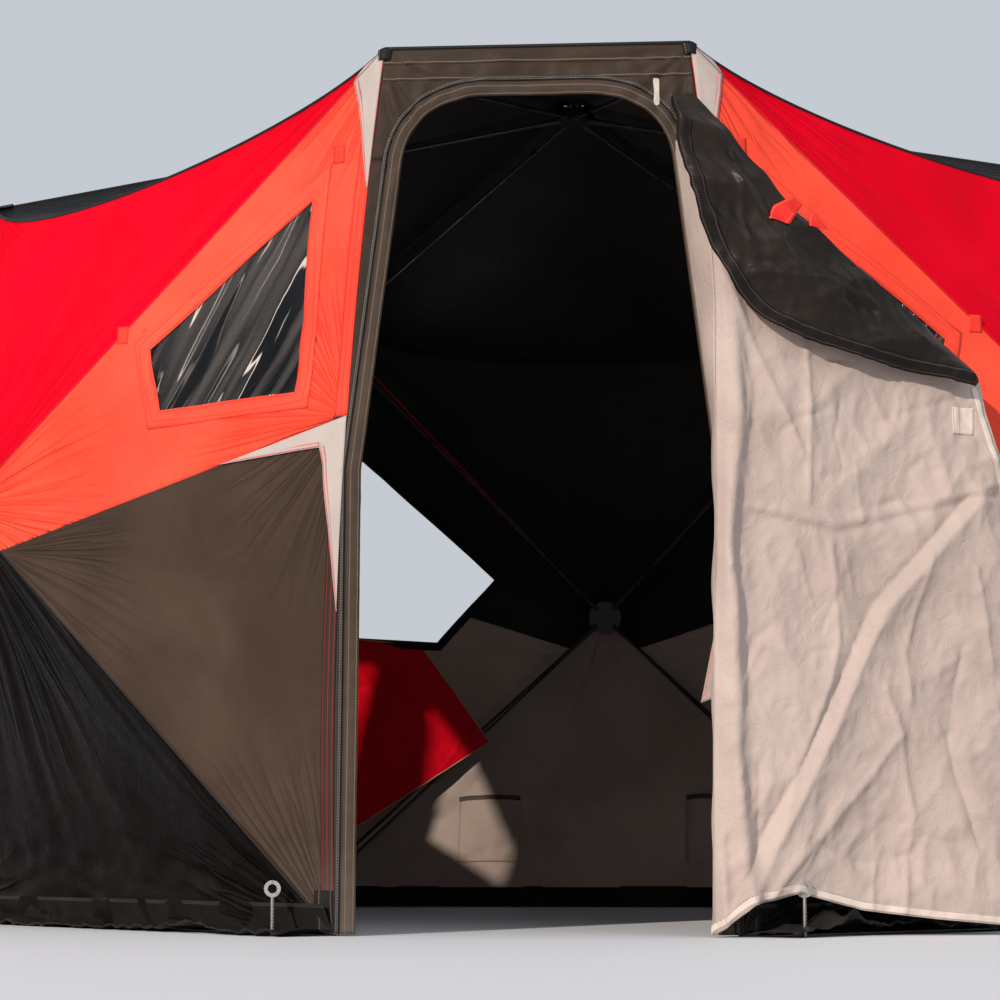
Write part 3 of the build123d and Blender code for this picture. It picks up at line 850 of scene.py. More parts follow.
roof_mesh = grid_mesh("roof_cloth", roof_grids, roof_places, roof_ways, roof_fans)
roof = sewn("roof_cloth", roof_mesh, (roof_black, dark_lining))
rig.replaces(roof, "roof_panels")
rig.slot(roof, "roof_cloth")
roof_flat = np.ptp(np.vstack([grid.reshape(-1, 3) for grid in roof_grids]), axis=0)[:2]
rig.sheet(roof, flat=roof_flat, held="stretched", rests_on=["roof_poles"], area=roof_area)


# Windows: clear flexible film behind a stitched frame of the wall's own cloth. The rear
# left one is open, and a band of black hook-and-loop tape runs round it instead.
film, place, uv = finish_of("window_film", Roughness=0.12, Specular_IOR_Level=0.8)
across, up = uv.part(0), uv.part(1)
slanted = uv.at(across * 24.0 - up * 15.0, up * 1.5 + across * 0.95)
streak = slanted.noise(1.0, 1.0, 0.5, 0.2)
# The film's colour is a dark blue-grey. Soft pale streaks and thin bright streaks are painted on it as reflections of
# light, and the bright streaks are also less see-through.
shine = (streak * 30.0).sine().step(0.86, 1.0) * slanted.noise(0.35, 1.0).step(0.40, 0.62)
film_colour_with_painted_glints = (streak.step(0.40, 0.70) * 0.25 + shine * 0.7).mix(rgb(28, 31, 38), rgb(228, 216, 206))
feed(film, Base_Color=film_colour_with_painted_glints, Alpha=shine * 0.6 + 0.15, Normal=streak.bump(0.8, 0.02))


def outset(outline, distance):
    """A flat outline with each side moved outwards and its corners mitred."""
    outline = np.asarray(outline, float)
    run = np.roll(outline, -1, axis=0) - outline
    run /= np.linalg.norm(run, axis=1, keepdims=True)
    outward = np.column_stack((run[:, 1], -run[:, 0]))
    after = np.roll(outline, -1, axis=0)
    outward *= np.sign(np.sum(outline[:, 0] * after[:, 1] - outline[:, 1] * after[:, 0]))
    before = np.roll(outward, 1, axis=0)
    mitre = (outward + before) / (1 + np.sum(outward * before, axis=1))[:, None]
    return outline + mitre * distance


def walk(points, spacing, closed=False):
    """Points along a broken line, about a spacing apart, with its corners kept."""
    points = np.asarray(points, float)
    if closed:
        points = np.vstack((points, points[:1]))
    runs = []
    for start, stop in zip(points, points[1:]):
        count = max(2, int(np.linalg.norm(stop - start) / spacing) + 1)
        runs.append(between(start, stop, count)[:-1])
    return np.vstack(runs + [points[-1:]])


def ringed(outline, count):
    """An outline as a closed line of points, as many on each side."""
    sides = zip(outline, np.roll(outline, -1, axis=0))
    return np.vstack([between(start, stop, count)[:-1] for start, stop in sides] + [outline[:1]])


def reach_along(points):
    """Distance run along a line of points."""
    return np.append(0, np.cumsum(np.linalg.norm(np.diff(points, axis=0), axis=1)))


def tape_grid(first, second, across=5):
    """A strip's grid between two lines of points, and its UV map: along and across."""
    grid = patch(first, second, across)
    width = np.linalg.norm(second - first, axis=1)
    along = np.broadcast_to(reach_along((first + second) / 2)[None], grid.shape[:2])
    over = np.linspace(0, 1, across)[:, None] * width[None]
    return grid, np.stack((along, over), axis=-1)


frame_cloth = cloth("window_frame_nylon", rgb(236, 82, 60), rgb(220, 62, 46), gloss=0.15,
                    crinkle=0.12, thread=rgb(212, 50, 42), rows=(0.006, 0.030))
black_tape = cloth("black_tape", rgb(26, 25, 25), rgb(18, 18, 18), roughness=0.75, crinkle=0.15,
                   thread=rgb(60, 58, 56), rows=(0.004, 0.022))
frame_loops = [ringed(outset(window_places, gap), 14) for gap in (-0.004, 0.036)]
panes, frames = [], []
for wall, end in wall_ends:
    if is_open(wall, end):
        continue
    cut, normal = side_cuts[wall.name, end], wall.sideways(end)[2]
    grid, places = tape_grid(*[wall.on_side(end, loop) for loop in frame_loops])
    frames.append((cut.lift(grid, 0.0026), places, normal))
    corners = wall.on_side(end, outset(window_places, 0.010))
    grid = patch(between(corners[0], corners[1], 24), between(corners[3], corners[2], 24), 24)
    panes.append((cut.lift(grid, 0.0004), cut.flat(grid), normal))

pane = from_parts("window_film", panes, (film,), 0.0006)
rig.replaces(pane, "window_panes")
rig.slot(pane, "window_film")
frame_piece = from_parts("window_frames", frames, (frame_cloth,), 0.0012)
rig.slot(frame_piece, "orange_cloth")

# Reinforcing wedges: pale grey cloth doubled over the corners, where pole pockets pull.
# A long thin one hangs from each top corner, and a three-pointed one ties the level seam
# to the corner edge; their edges are stitched twice in red.
wedge_cloth = cloth("wedge_nylon", rgb(178, 167, 160), rgb(158, 147, 141), gloss=0.1, crinkle=0.25)
wedge_edge = cloth("wedge_edge", rgb(174, 162, 155), rgb(156, 145, 139), gloss=0.1, crinkle=0.1,
                   thread=rgb(214, 50, 60), rows=(0.003, 0.010))
wedges, wedge_edges = [], []
wedge_width, wedge_length, hem_width = 0.10, 0.316, 0.013
knee_reach, knee_length, knee_width, knee_depth = 0.34, 0.43, 0.068, 0.066
for wall, end in wall_ends:
    level, rise, normal = wall.sideways(end)
    upper, lower = side_cuts[wall.name, end], lower_cuts[wall.name, end]
    head, corner_height = wall.top[end], (wall.top[end] - wall.base[end]) @ rise
    # The long thin wedge, its hem, and its turn over the pole on to the top panel
    side = head + (wall.hub - head) * (wedge_width / np.linalg.norm(head - wall.hub))
    edge = wall.corner_edge(end, np.linspace(1, 1 - wedge_length / corner_height, 30))
    inner = between(side, edge[-1], 30)
    grid = patch(inner, edge, 6)
    wedges.append((upper.lift(grid, 0.0036), upper.flat(grid), normal))
    facing = square_to(inner[-1] - inner[0], normal, edge[8] - inner[8])
    hem = facing * np.linspace(hem_width, 0.05 * hem_width, 30)[:, None]
    grid, places = tape_grid(inner, inner + hem, 3)
    wedge_edges.append((upper.lift(grid, 0.0050), places, normal))
    tip = sagging_edge(head, wall.top[1 - end], wall.hub, np.linspace(0, 0.06, 12))
    crown_cut = top_cuts[wall.name]
    grid = patch(between(head, side, 12), tip, 8)
    wedges.append((crown_cut.lift(grid, 0.0036), crown_cut.flat(grid), wall.out))
    if is_open(wall, end):
        continue
    # The three-pointed wedge: its tip lies on the seam and its tail on the corner edge
    share, start = wall.seam_share(end), wall.seam_start(end)
    knee = wall.corner_edge(end, share)[0]
    tip = knee + (start - knee) * knee_reach / np.linalg.norm(knee - start)
    tail = wall.corner_edge(end, np.linspace(share, share - knee_length / corner_height, 30))
    elbow = knee - level * knee_width - rise * knee_depth
    runs = between(tip, elbow, 20), between(elbow, tail[-1], 30)
    upper_line = np.vstack((between(tip, knee, 20)[:-1], tail))
    grid = patch(upper_line, np.vstack((runs[0][:-1], runs[1])), 6)
    wedges.append((lower.lift(grid, 0.0044), lower.flat(grid), normal))
    for line, first, last in zip(runs, (0.002, hem_width), (hem_width, 0.002)):
        facing = square_to(line[-1] - line[0], normal, knee - elbow)
        hem = facing * np.linspace(first, last, len(line))[:, None]
        grid, places = tape_grid(line, line + hem, 3)
        wedge_edges.append((lower.lift(grid, 0.0058), places, normal))
wedge_piece = from_parts("corner_wedges_cloth", wedges, (wedge_cloth,), 0.0012)
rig.replaces(wedge_piece, "corner_wedges")
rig.slot(wedge_piece, "wedge_cloth")
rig.slot(from_parts("wedge_stitching", wedge_edges, (wedge_edge,), 0.0008), "wedge_cloth")

# Corner strips: the upright seams between walls are doubled with a tape that is sewn in
# three red rows. It is orange-red above the level seam and olive below it.
strip_above = cloth("corner_strip_orange", rgb(234, 76, 56), rgb(218, 58, 44), gloss=0.15,
                    crinkle=0.12, thread=rgb(208, 44, 38), rows=(0.004, 0.017, 0.030))
strip_below = cloth("corner_strip_olive", rgb(58, 47, 39), rgb(46, 37, 31), roughness=0.6,
                    gloss=0.14, crinkle=0.15, thread=rgb(140, 40, 40), rows=(0.004, 0.017, 0.030),
                    dust=0.12)
strip_width = 0.034
above, below = [], []
for wall, end in wall_ends:
    level, rise, normal = wall.sideways(end)
    share = wall.seam_share(end)
    halves = (1.0, share, side_cuts, above), (share, 0.0, lower_cuts, below)
    for first, last, cuts, kept in halves:
        edge = wall.corner_edge(end, np.linspace(first, last, 60))
        # The strip narrows to a point under the corner cap
        wide = np.minimum(strip_width, 0.001 + 0.5 * (wall_height - edge[:, 2]))[:, None]
        grid, places = tape_grid(edge, edge - level * wide)
        kept.append((cuts[wall.name, end].lift(grid, 0.0022), places, normal))
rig.slot(from_parts("corner_strips_upper", above, (strip_above,), 0.0010), "orange_cloth")
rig.slot(from_parts("corner_strips_lower", below, (strip_below,), 0.0010), "olive_cloth")


def tube_grid(line, radius, sides):
    """A round tube along a line of points, with a radius at each: its rings stand square to
    the line's direction."""
    ahead = np.gradient(line, axis=0)
    ahead /= np.linalg.norm(ahead, axis=1, keepdims=True)
    upright = abs(ahead[:, 2]).max() >= 0.95
    side = np.cross(ahead, (1.0, 0.0, 0.0) if upright else (0.0, 0.0, 1.0))
    side /= np.linalg.norm(side, axis=1, keepdims=True)
    over = np.cross(side, ahead)
    turn = np.linspace(0, 2 * np.pi, sides + 1)
    ring = np.cos(turn)[:, None, None] * side + np.sin(turn)[:, None, None] * over
    around = (turn * 0.003)[:, None]
    places = np.stack(np.broadcast_arrays(reach_along(line)[None], around), axis=-1)
    return line + ring * radius[:, None], places


def tubes(name, lines, radius, finish, slot_name, sides=8):
    """One piece of several closed tubes, each end drawn in to a point."""
    grids, places = [], []
    for line in lines:
        thick = np.full(len(line) + 2, radius)
        thick[[0, -1]] = 1e-6
        before = line[0] - (line[1] - line[0]) * 0.02
        after = line[-1] + (line[-1] - line[-2]) * 0.02
        grid, place = tube_grid(np.vstack((before, line, after)), thick, sides)
        grids.append(grid)
        places.append(place)
    mesh = grid_mesh(name, grids, places)
    solid = bmesh.new()
    solid.from_mesh(mesh)
    bmesh.ops.recalc_face_normals(solid, faces=solid.faces)
    solid.to_mesh(mesh)
    solid.free()
    mesh.shade_smooth()
    mesh.materials.append(finish)
    piece = bpy.data.objects.new(name, mesh)
    bpy.context.collection.objects.link(piece)
    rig.ride(piece, "root")
    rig.slot(piece, slot_name)
    return piece


# Welts: a thin rolled seam runs over each pole, crimson above the hubs and black below,
# and a black piping closes the roof against the walls' top edges.
welt_crimson = cloth("welt_crimson", rgb(196, 16, 36), rgb(170, 8, 26), crinkle=0.1)
welt_black = cloth("welt_black", rgb(30, 28, 27), rgb(20, 19, 18), crinkle=0.1)
evenly_spaced = np.linspace(0, 1, 90)
uppers = [between(wall.hub, wall.top[end], 64) for wall, end in wall_ends]
lowers = [between(wall.hub, wall.base[end], 64) for wall, end in wall_ends]
tubes("upper_welts", uppers, 0.0028, welt_crimson, "crimson_cloth")
tubes("lower_welts", lowers, 0.0028, welt_black, "dark_cloth")
piping = [sagging_edge(*wall.top, wall.hub, evenly_spaced) for wall in walls]
piping.append(between(top_corners[5], top_corners[0], 40))
tubes("roof_piping", [line + (0, 0, 0.002) for line in piping], 0.0045, welt_black, "roof_cloth")
ridges = [between(peak, corner, 64) for corner in top_corners]
tubes("roof_welts", ridges, 0.0032, welt_black, "roof_cloth")
uprights = [wall.corner_edge(0, evenly_spaced) for wall in walls[1:]]
tubes("corner_welts", uprights, 0.0035, welt_black, "dark_cloth")


# Door panel: one narrow cut of olive nylon between the front walls, with the doorway's
# arch cut out of it. The arch is bound with a stitched tape that also carries the zipper,
# and creases run from its shoulders to the top corners.
door_olive = cloth("door_olive", rgb(62, 51, 43), rgb(48, 39, 33), roughness=0.6, gloss=0.12,
                   crinkle=0.34, dust=0.12)
door_tape = cloth("door_tape", rgb(70, 59, 50), rgb(56, 47, 40), roughness=0.62, gloss=0.12,
                  crinkle=0.15, thread=rgb(112, 98, 84), rows=(0.005, 0.022), dust=0.12)
outwards = np.array((0, -1.0, 0))


def door_surface(places, above=0.0):
    """Points of the door panel from places across and up, as seen from the front. It leans
    back and bows as its corner edges do, and is lifted by creases from the arch's shoulders."""
    places = np.asarray(places, float)
    share = np.clip(places[..., 1] / wall_height, 0, 1)
    edge = walls[0].corner_edge(0, share.ravel()).reshape(*share.shape, 3)
    from_edge = np.abs(edge[..., 0]) - np.abs(places[..., 0])
    height = np.zeros(share.shape)
    for side in (-1, 1):
        for pull, size in (((side * 0.35, 1.94), 0.09), ((side * 0.29, 1.72), 0.06)):
            away = places - pull
            far = np.linalg.norm(away, axis=-1)
            angle = np.arctan2(away[..., 1], away[..., 0])
            fading = size * far * np.exp(-far / 0.12)
            height += fading * np.sin(angle * 17 + side) * np.sin(angle * 5 + 1)
    height += 0.0030 * drift(places * (1.0, 0.35), 0.16, 501) + 0.0012 * drift(places, 0.05, 502)
    height *= eased(from_edge, 0.0, 0.03) * eased(wall_height - places[..., 1], 0.0, 0.03)
    return np.stack((places[..., 0], edge[..., 1] - height - above, places[..., 1]), axis=-1)


def through(points, counts):
    """A broken line through places, with a number of points on each of its runs."""
    points = np.array(points)
    runs = [between(*ends, count) for *ends, count in zip(points, points[1:], counts)]
    return np.vstack([runs[0]] + [run[1:] for run in runs[1:]])


# The right half of the doorway's edge, from the foot: jamb, shoulder and flat top. The
# panel's outer edge has as many points, and both are mirrored to the left.
shoulder, arch_side, arch_top = (0.300, 1.690), 0.110, 1.833
low_part = through(((0.386, 0.004), (0.386, 1.0), shoulder), (90, 60))
arch_pulls = (0.285, 1.780), (0.215, arch_top)
arch_part = cubic(shoulder, *arch_pulls, (arch_side, arch_top), np.linspace(0, 1, 40))
top_part = through(((arch_side, arch_top), (0.0, arch_top)), (16,))
half_arch = np.vstack((low_part, arch_part[1:], top_part[1:]))
doorway = np.vstack((half_arch * (-1, 1), half_arch[-2::-1]))
edge_at = -walls[0].corner_edge(0, low_part[:, 1] / wall_height)[:, 0]
outer_low = np.column_stack((edge_at, low_part[:, 1]))
outer_top = [(across, wall_height) for across in (top_corners[5, 0], arch_side, 0.0)]
half_outer = np.vstack((outer_low, through((outer_low[-1], *outer_top), (21, 20, 16))[1:]))
outer = np.vstack((half_outer * (-1, 1), half_outer[-2::-1]))
flat_grid = patch(doorway, outer, 16)
# The cloth is cut level with the shoulders into two jambs and a header
left_cut, right_cut = len(low_part) - 1, len(doorway) - len(low_part)
for name, first, last in (
    ("door_left_jamb", 0, left_cut),
    ("door_header", left_cut, right_cut),
    ("door_right_jamb", right_cut, len(doorway) - 1),
):
    cut_places = flat_grid[:, first : last + 1]
    parts = [(door_surface(cut_places), cut_places, outwards)]
    piece = from_parts(name + "_cloth", parts, (door_olive, dark_lining))
    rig.replaces(piece, name)
    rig.slot(piece, "olive_cloth")
    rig.sheet(piece, held="stretched", rests_on=["wall_poles"], **flat_size(cut_places))


def beside(line, distance):
    """A flat line moved square to its own direction, to its left for a positive distance."""
    ahead = np.gradient(line, axis=0)
    ahead /= np.linalg.norm(ahead, axis=1, keepdims=True)
    return line + np.column_stack((-ahead[:, 1], ahead[:, 0])) * distance


def on_door(first, second, across, above):
    """A strip on the door panel between two flat lines, some way above the cloth."""
    grid, places = tape_grid(first, second, across)
    return door_surface(grid, above), places, outwards


swell = np.sin(np.linspace(0, np.pi, 7))[:, None] * 0.0025
binding = on_door(beside(doorway, -0.003), beside(doorway, 0.029), 7, 0.0018 + swell)
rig.slot(from_parts("doorway_binding", [binding], (door_tape,), 0.0012), "olive_cloth")
zipper_black = cloth("zipper_black", rgb(34, 32, 31), rgb(22, 21, 21), roughness=0.45, crinkle=0.05,
                     thread=rgb(96, 92, 86), rows=(0.004, 0.008))
zipper = on_door(beside(doorway, 0.031), beside(doorway, 0.041), 3, 0.0017)
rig.slot(from_parts("doorway_zipper", [zipper], (zipper_black,), 0.0012), "olive_cloth")
hems = []
for height in (1.868, 1.905):
    line = np.column_stack((np.linspace(-0.34, 0.34, 90), np.full(90, height)))
    hems.append(on_door(line, line + (0, 0.008), 3, 0.0017))
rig.slot(from_parts("header_hems", hems, (door_tape,), 0.0008), "olive_cloth")

# Opened door flap: it hangs from the right jamb, turned outwards so that its beige lining
# shows. Its upper corner has fallen over to the front and shows the dark outer cloth,
# and a red tab on the wall side is meant to hold it when it is rolled.
flap_turn = np.radians(25)
flap_root = np.array((0.366, door_line - 0.044, 0.0))
flap_along = np.array((np.cos(flap_turn), np.sin(flap_turn), 0.0))
flap_front = np.array((np.sin(flap_turn), -np.cos(flap_turn), 0.0))
lining = cloth("flap_lining", rgb(176, 159, 150), rgb(158, 142, 134), roughness=0.5, gloss=0.15,
               crinkle=0.9, dust=0.1)
flap_dark = cloth("flap_dark", rgb(44, 36, 30), rgb(26, 21, 18), roughness=0.42, gloss=0.20,
                  crinkle=0.7)
flap_tape = cloth("flap_tape", rgb(34, 29, 26), rgb(24, 21, 19), roughness=0.5, gloss=0.15,
                  crinkle=0.3, thread=rgb(74, 66, 58), rows=(0.004, 0.023))


def creased(places, lines):
    """Height of sharp folds: each is a broken line with a half-width and a height, and the
    cloth falls away from it on both sides, steeply at first and then ever less."""
    height = np.zeros(places.shape[:-1])
    for points, width, size in lines:
        points = np.asarray(points, float)
        near = np.full(places.shape[:-1], np.inf)
        for start, stop in zip(points, points[1:]):
            run = stop - start
            share = np.clip(((places - start) @ run) / (run @ run), 0, 1)
            away = np.linalg.norm(places - start - share[..., None] * run, axis=-1)
            near = np.minimum(near, away)
        height += size * np.exp(-near / width)
    return height


def scattered(seed, count, low, high, long, width, size, aim=0.0, fanned=np.pi):
    """Random short folds in a box of places, whose directions are fanned about an angle."""
    rng = np.random.default_rng(seed)
    middle = rng.uniform(low, high, (count, 2))
    angle = aim + rng.uniform(-0.5, 0.5, count) * fanned
    way = np.column_stack((np.cos(angle), np.sin(angle)))
    half = way * rng.uniform(0.3, 1, (count, 1)) * long / 2
    bent = middle + rng.normal(0, 0.10 * long, (count, 2))
    lines = np.stack((middle - half, bent, middle + half), axis=1)
    return list(zip(lines, width * rng.uniform(0.5, 1.4, count), size * rng.uniform(-1, 1, count)))


def crumpled(places, seed, layers):
    """Crumpled cloth: each layer is 1 less the size of a smooth random height, which has
    sharp ridges where the height crosses zero and rounded hollows between them."""
    height = 0.0
    for number, (pitch, size) in enumerate(layers):
        height = height + size * (1 - np.abs(drift(places, pitch, seed + number, waves=12)))
    return height


hand_folds = [
    (((0.653, 0.943), (0.414, 0.694), (0.327, 0.52), (0.205, 0.306), (0.074, 0.067)), 0.030, 0.017),
    (((0.62, 0.95), (0.385, 0.705), (0.295, 0.53), (0.172, 0.318), (0.04, 0.075)), 0.014, -0.011),
    (((0.411, 0.521), (0.445, 0.426), (0.391, 0.361), (0.121, 0.087)), 0.016, 0.011),
    (((0.282, 0.829), (0.30, 0.626), (0.267, 0.519), (0.182, 0.338)), 0.011, 0.009),
    (((0.632, 0.788), (0.669, 0.57)), 0.010, 0.008),
    (((0.045, 1.39), (0.088, 1.284), (0.215, 1.021)), 0.012, 0.009),
    (((0.233, 1.25), (0.228, 0.924)), 0.008, 0.008),
    (((0.084, 0.907), (0.297, 0.873), (0.704, 0.978)), 0.009, 0.006),
    (((0.10, 0.890), (0.297, 0.855), (0.69, 0.955)), 0.012, -0.006),
    (((0.52, 0.82), (0.46, 0.60), (0.47, 0.50)), 0.012, 0.008),
    (((0.60, 0.62), (0.56, 0.40), (0.62, 0.20)), 0.014, -0.009),
    (((0.445, 0.426), (0.47, 0.25), (0.44, 0.05)), 0.012, 0.008),
    (((0.08, 0.62), (0.17, 0.60), (0.29, 0.55)), 0.007, 0.004),
    (((0.22, 0.20), (0.34, 0.15), (0.46, 0.17)), 0.010, -0.007),
]
fold_lines = hand_folds + scattered(
    601, 44, (0.03, 0.05), (0.74, 1.25), long=0.20, width=0.008, size=0.006, aim=0.9, fanned=2.4
)
flap_foot, flap_head = 0.76, 0.745  # the flap's width at its hem and at its upper corner
# Its hem and its upper edge, as places along and up, given in millimetres
hem = np.array(((0, 4), (63, 66), (191, 91), (344, 54), (520, 34), (683, 20), (760, 12))) / 1000
crown = np.array(((0, 1742), (22, 1721), (199, 1548), (612, 1232), (649, 1201), (745, 900))) / 1000


def flap_point(places, front):
    """A point of the flap from its place along and up, and its distance to the front."""
    on_plane = places[..., :1] * flap_along + places[..., 1:] * (0, 0, 1)
    return flap_root + on_plane + front[..., None] * flap_front


def flap_front_of(places, extra=0.0):
    """How far the lining stands to the front: an upright roll beside the jamb, slow waves,
    sharp folds, and a hem that kicks out."""
    along, up = places[..., 0], places[..., 1]
    roll_at = 0.052 + 0.010 * np.sin(up * 5 + 1) + 0.006 * np.sin(up * 13)
    roll = 0.024 * np.exp(-(((along - roll_at) / 0.022) ** 2)) * eased(up, 1.45, 1.15)
    waves = 0.008 * drift(places * (1.0, 0.7), 0.45, 602)
    # Less crumpled under the fallen corner
    under = 1 - 0.6 * eased(up, 1.14, 1.28)
    layers = ((0.26, 0.0070), (0.11, 0.0036), (0.048, 0.0012))
    crumple = under * crumpled(places * (1.0, 0.85), 603, layers)
    kick = 0.018 * eased(up, 0.20, 0.0)
    depth = 0.010 + roll + waves + crumple + creased(places, fold_lines) + kick
    # Hollows level out before they reach the flap's plane
    least = 0.006
    depth = np.where(depth > least, depth, least * np.exp(np.minimum(depth / least - 1, 0)))
    return depth * eased(along - flap_start(up), -0.002, 0.016) + extra


def flap_start(rise):
    """Where the lining's first fold stands along the flap, by height."""
    return np.interp(rise, (0.0, 0.5, 1.05, 1.35, 1.74), (0.006, 0.012, 0.022, 0.024, 0.0))


def line_under(shape, width, count):
    """Evenly spaced places along an edge of the flap, out to a width."""
    along = width * np.linspace(0, 1, count)
    return np.column_stack((along, np.interp(along, shape[:, 0], shape[:, 1])))


places = patch(line_under(hem, flap_foot, 152), line_under(crown, flap_head, 152), 206)
places[..., 0] += flap_start(places[..., 1]) * (1 - places[..., 0] / flap_foot)
flap_grid = flap_point(places, flap_front_of(places))
flap = from_parts("flap_lining", [(flap_grid, places, flap_front)], (lining,))
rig.replaces(flap, "door_flap")
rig.slot(flap, "lining_cloth")
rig.sheet(flap, held="hung", rests_on=["door_right_jamb"], **flat_size(places))

# The fallen corner: the fold's upper edge joins the lining, and its curved lower edge
# is the flap's own bound edge, hanging free in front.
# The fold's two edges, in millimetres along the flap and up
lower_edge = np.array((
    (-95, 1776), (-84, 1668), (-39, 1518), (31, 1382),
    (112, 1300), (219, 1263), (364, 1228), (623, 1188),
)) / 1000
upper_edge = np.array(
    ((-95, 1776), (-36, 1788), (22, 1721), (199, 1548), (612, 1232), (623, 1188))
) / 1000


def evenly(line, count):
    """A line resampled to a number of points at equal distances."""
    reach = reach_along(line)
    stops = np.linspace(0, reach[-1], count)
    return np.column_stack([np.interp(stops, reach, axis) for axis in line.T])


def softened(line, passes):
    """A line with its corners rounded by averaging neighbours."""
    line = line.copy()
    for _ in range(passes):
        line[1:-1] = (line[:-2] + 2 * line[1:-1] + line[2:]) / 4
    return line


lower_edge = softened(evenly(walk(lower_edge, 0.008), 150), 30)
upper_edge = softened(evenly(walk(upper_edge, 0.008), 150), 4)
places = patch(lower_edge, upper_edge, 60)
dark_folds = [
    (((0.0, 1.70), (0.10, 1.52), (0.20, 1.40), (0.42, 1.26)), 0.026, 0.014),
    (((0.03, 1.66), (0.22, 1.46), (0.33, 1.38)), 0.012, -0.008),
    (((0.10, 1.40), (0.20, 1.395), (0.30, 1.40)), 0.008, 0.008),
    (((0.17, 1.42), (0.36, 1.36), (0.50, 1.27)), 0.012, 0.009),
    (((0.30, 1.43), (0.38, 1.34), (0.40, 1.27)), 0.010, 0.006),
] + scattered(
    611, 40, (-0.05, 1.22), (0.55, 1.75), long=0.24, width=0.006, size=0.007, aim=-0.8, fanned=1.3
)


def fold_front_of(places, extra=0.0):
    """How far the fallen corner stands in front of the lining: a soft belly between its
    edges, sharp folds, and fine puckers near its bound edge."""
    along, up = places[..., 0], places[..., 1]
    low = np.interp(along, lower_edge[:, 0], lower_edge[:, 1])
    high = np.interp(along, upper_edge[:, 0], upper_edge[:, 1])
    inside = np.clip((up - low) / np.maximum(high - low, 0.02), 0, 1)
    belly = 0.020 * np.sin(np.pi * inside) + 0.014 * (1 - inside)
    pucker = 0.002 * drift(places, 0.035, 612) * (1 - inside)
    # Crumples drawn out along the fold, which falls 38 degrees to the right
    cos, sin = np.cos(np.radians(38)), np.sin(np.radians(38))
    drawn = np.stack((along * cos - up * sin, along * sin + up * cos), axis=-1)
    crumple = crumpled(drawn * (0.45, 1.0), 613, ((0.14, 0.011), (0.06, 0.0030)))
    return 0.034 + belly + creased(places, dark_folds) + crumple + pucker + extra


fold_grid = flap_point(places, fold_front_of(places))
fold = from_parts("flap_fallen_corner", [(fold_grid, places, flap_front)], (flap_dark, lining))
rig.replaces(fold, "door_flap_fold")
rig.slot(fold, "olive_cloth")
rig.sheet(fold, held="hung", rests_on=[flap], **flat_size(places))


def on_flap(front_of, first, second, across, above):
    """A strip on the lining or on the fallen corner, between two flat lines and some way
    above the cloth."""
    grid, places = tape_grid(first, second, across)
    return flap_point(grid, front_of(grid, above)), places, flap_front


free_edge = lower_edge[4:-2]
binding = on_flap(fold_front_of, free_edge, beside(free_edge, 0.027), 5, 0.0022)
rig.slot(from_parts("flap_edge_binding", [binding], (flap_tape,), 0.0012), "olive_cloth")

# Edges of the lining: pale tape on the wall side and along the hem, and a small stitched
# square that backs the tie on the other side.
lining_tape = cloth("lining_tape", rgb(202, 188, 178), rgb(186, 170, 160), roughness=0.6,
                    crinkle=0.2, thread=rgb(150, 136, 126), rows=(0.003, 0.018))
wall_side = through(((0.757, 0.02), (0.742, 0.90), (0.649, 1.19)), (110, 40))
hem_line = line_under(hem, 0.758, 130)
square = through(((0.585, 1.085), (0.585, 1.145)), (12,))
tapes = [
    on_flap(flap_front_of, line, line + step, across, 0.0020)
    for line, step, across in (
        (wall_side, (-0.020, 0), 4), (hem_line, (0, 0.020), 4), (square, (0.055, 0), 12)
    )
]
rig.slot(from_parts("lining_edge_tape", tapes, (lining_tape,), 0.0010), "lining_cloth")

# Hinge side of the flap: a strip of lining turns from the jamb to the flap's first fold.
heights = np.linspace(0.006, 1.72, 120)
jamb_x = np.interp(heights, low_part[:, 1], low_part[:, 0]) + 0.004
jamb = door_surface(np.column_stack((jamb_x, heights)), 0.0035)
turned = flap_point(np.column_stack((flap_start(heights), heights)), np.full(120, -0.0005))
to_doorway = np.array((-1.0, 0, 0))
bulge = 0.006 * np.sin(np.linspace(0, np.pi, 14))[:, None]
bulge = bulge * (1 + 0.7 * drift(heights[:, None], 0.25, 621))
grid = patch(jamb, turned, 14) + to_doorway * bulge[..., None]
places = np.stack(np.broadcast_arrays(np.linspace(0, 0.05, 14)[:, None], heights[None]), axis=-1)
hinge_strip = from_parts("flap_hinge_strip", [(grid, places, to_doorway)], (lining,), 0.0014)
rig.replaces(hinge_strip, "door_flap_hinge")
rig.slot(hinge_strip, "lining_cloth")
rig.sheet(hinge_strip, flat=(0.09, 1.72), held="hung", rests_on=["door_right_jamb"], area=0.15)

# Red tab: a short flat strip of the wall's orange-red cloth that comes over the fold's
# upper edge and lies on the dark cloth with a slanted end; a corner of it shows behind.
tab_cloth = cloth("tab_nylon", rgb(226, 52, 42), rgb(204, 36, 30), crinkle=0.2,
                  thread=rgb(236, 104, 88), rows=(0.004, 0.046))
tab = []
for first, second, above in (
    (((0.117, 1.518), (0.141, 1.553), (0.192, 1.579)),
     ((0.172, 1.511), (0.190, 1.532), (0.216, 1.561)), 0.0050),
    (((0.222, 1.513), (0.232, 1.540)), ((0.273, 1.510), (0.241, 1.541)), 0.0040),
):
    sides = [evenly(np.array(line), 20) for line in (first, second)]
    grid, places = tape_grid(*sides, 9)
    ripple = 0.0016 * np.sin(places[..., 0] * 120) * np.sin(places[..., 1] * 90 + 1)
    tab.append((flap_point(grid, fold_front_of(grid, above + ripple)), places, flap_front))
tab_piece = from_parts("flap_tab", tab, (tab_cloth,), 0.0014)
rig.replaces(tab_piece, "flap_strap")
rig.slot(tab_piece, "orange_cloth")


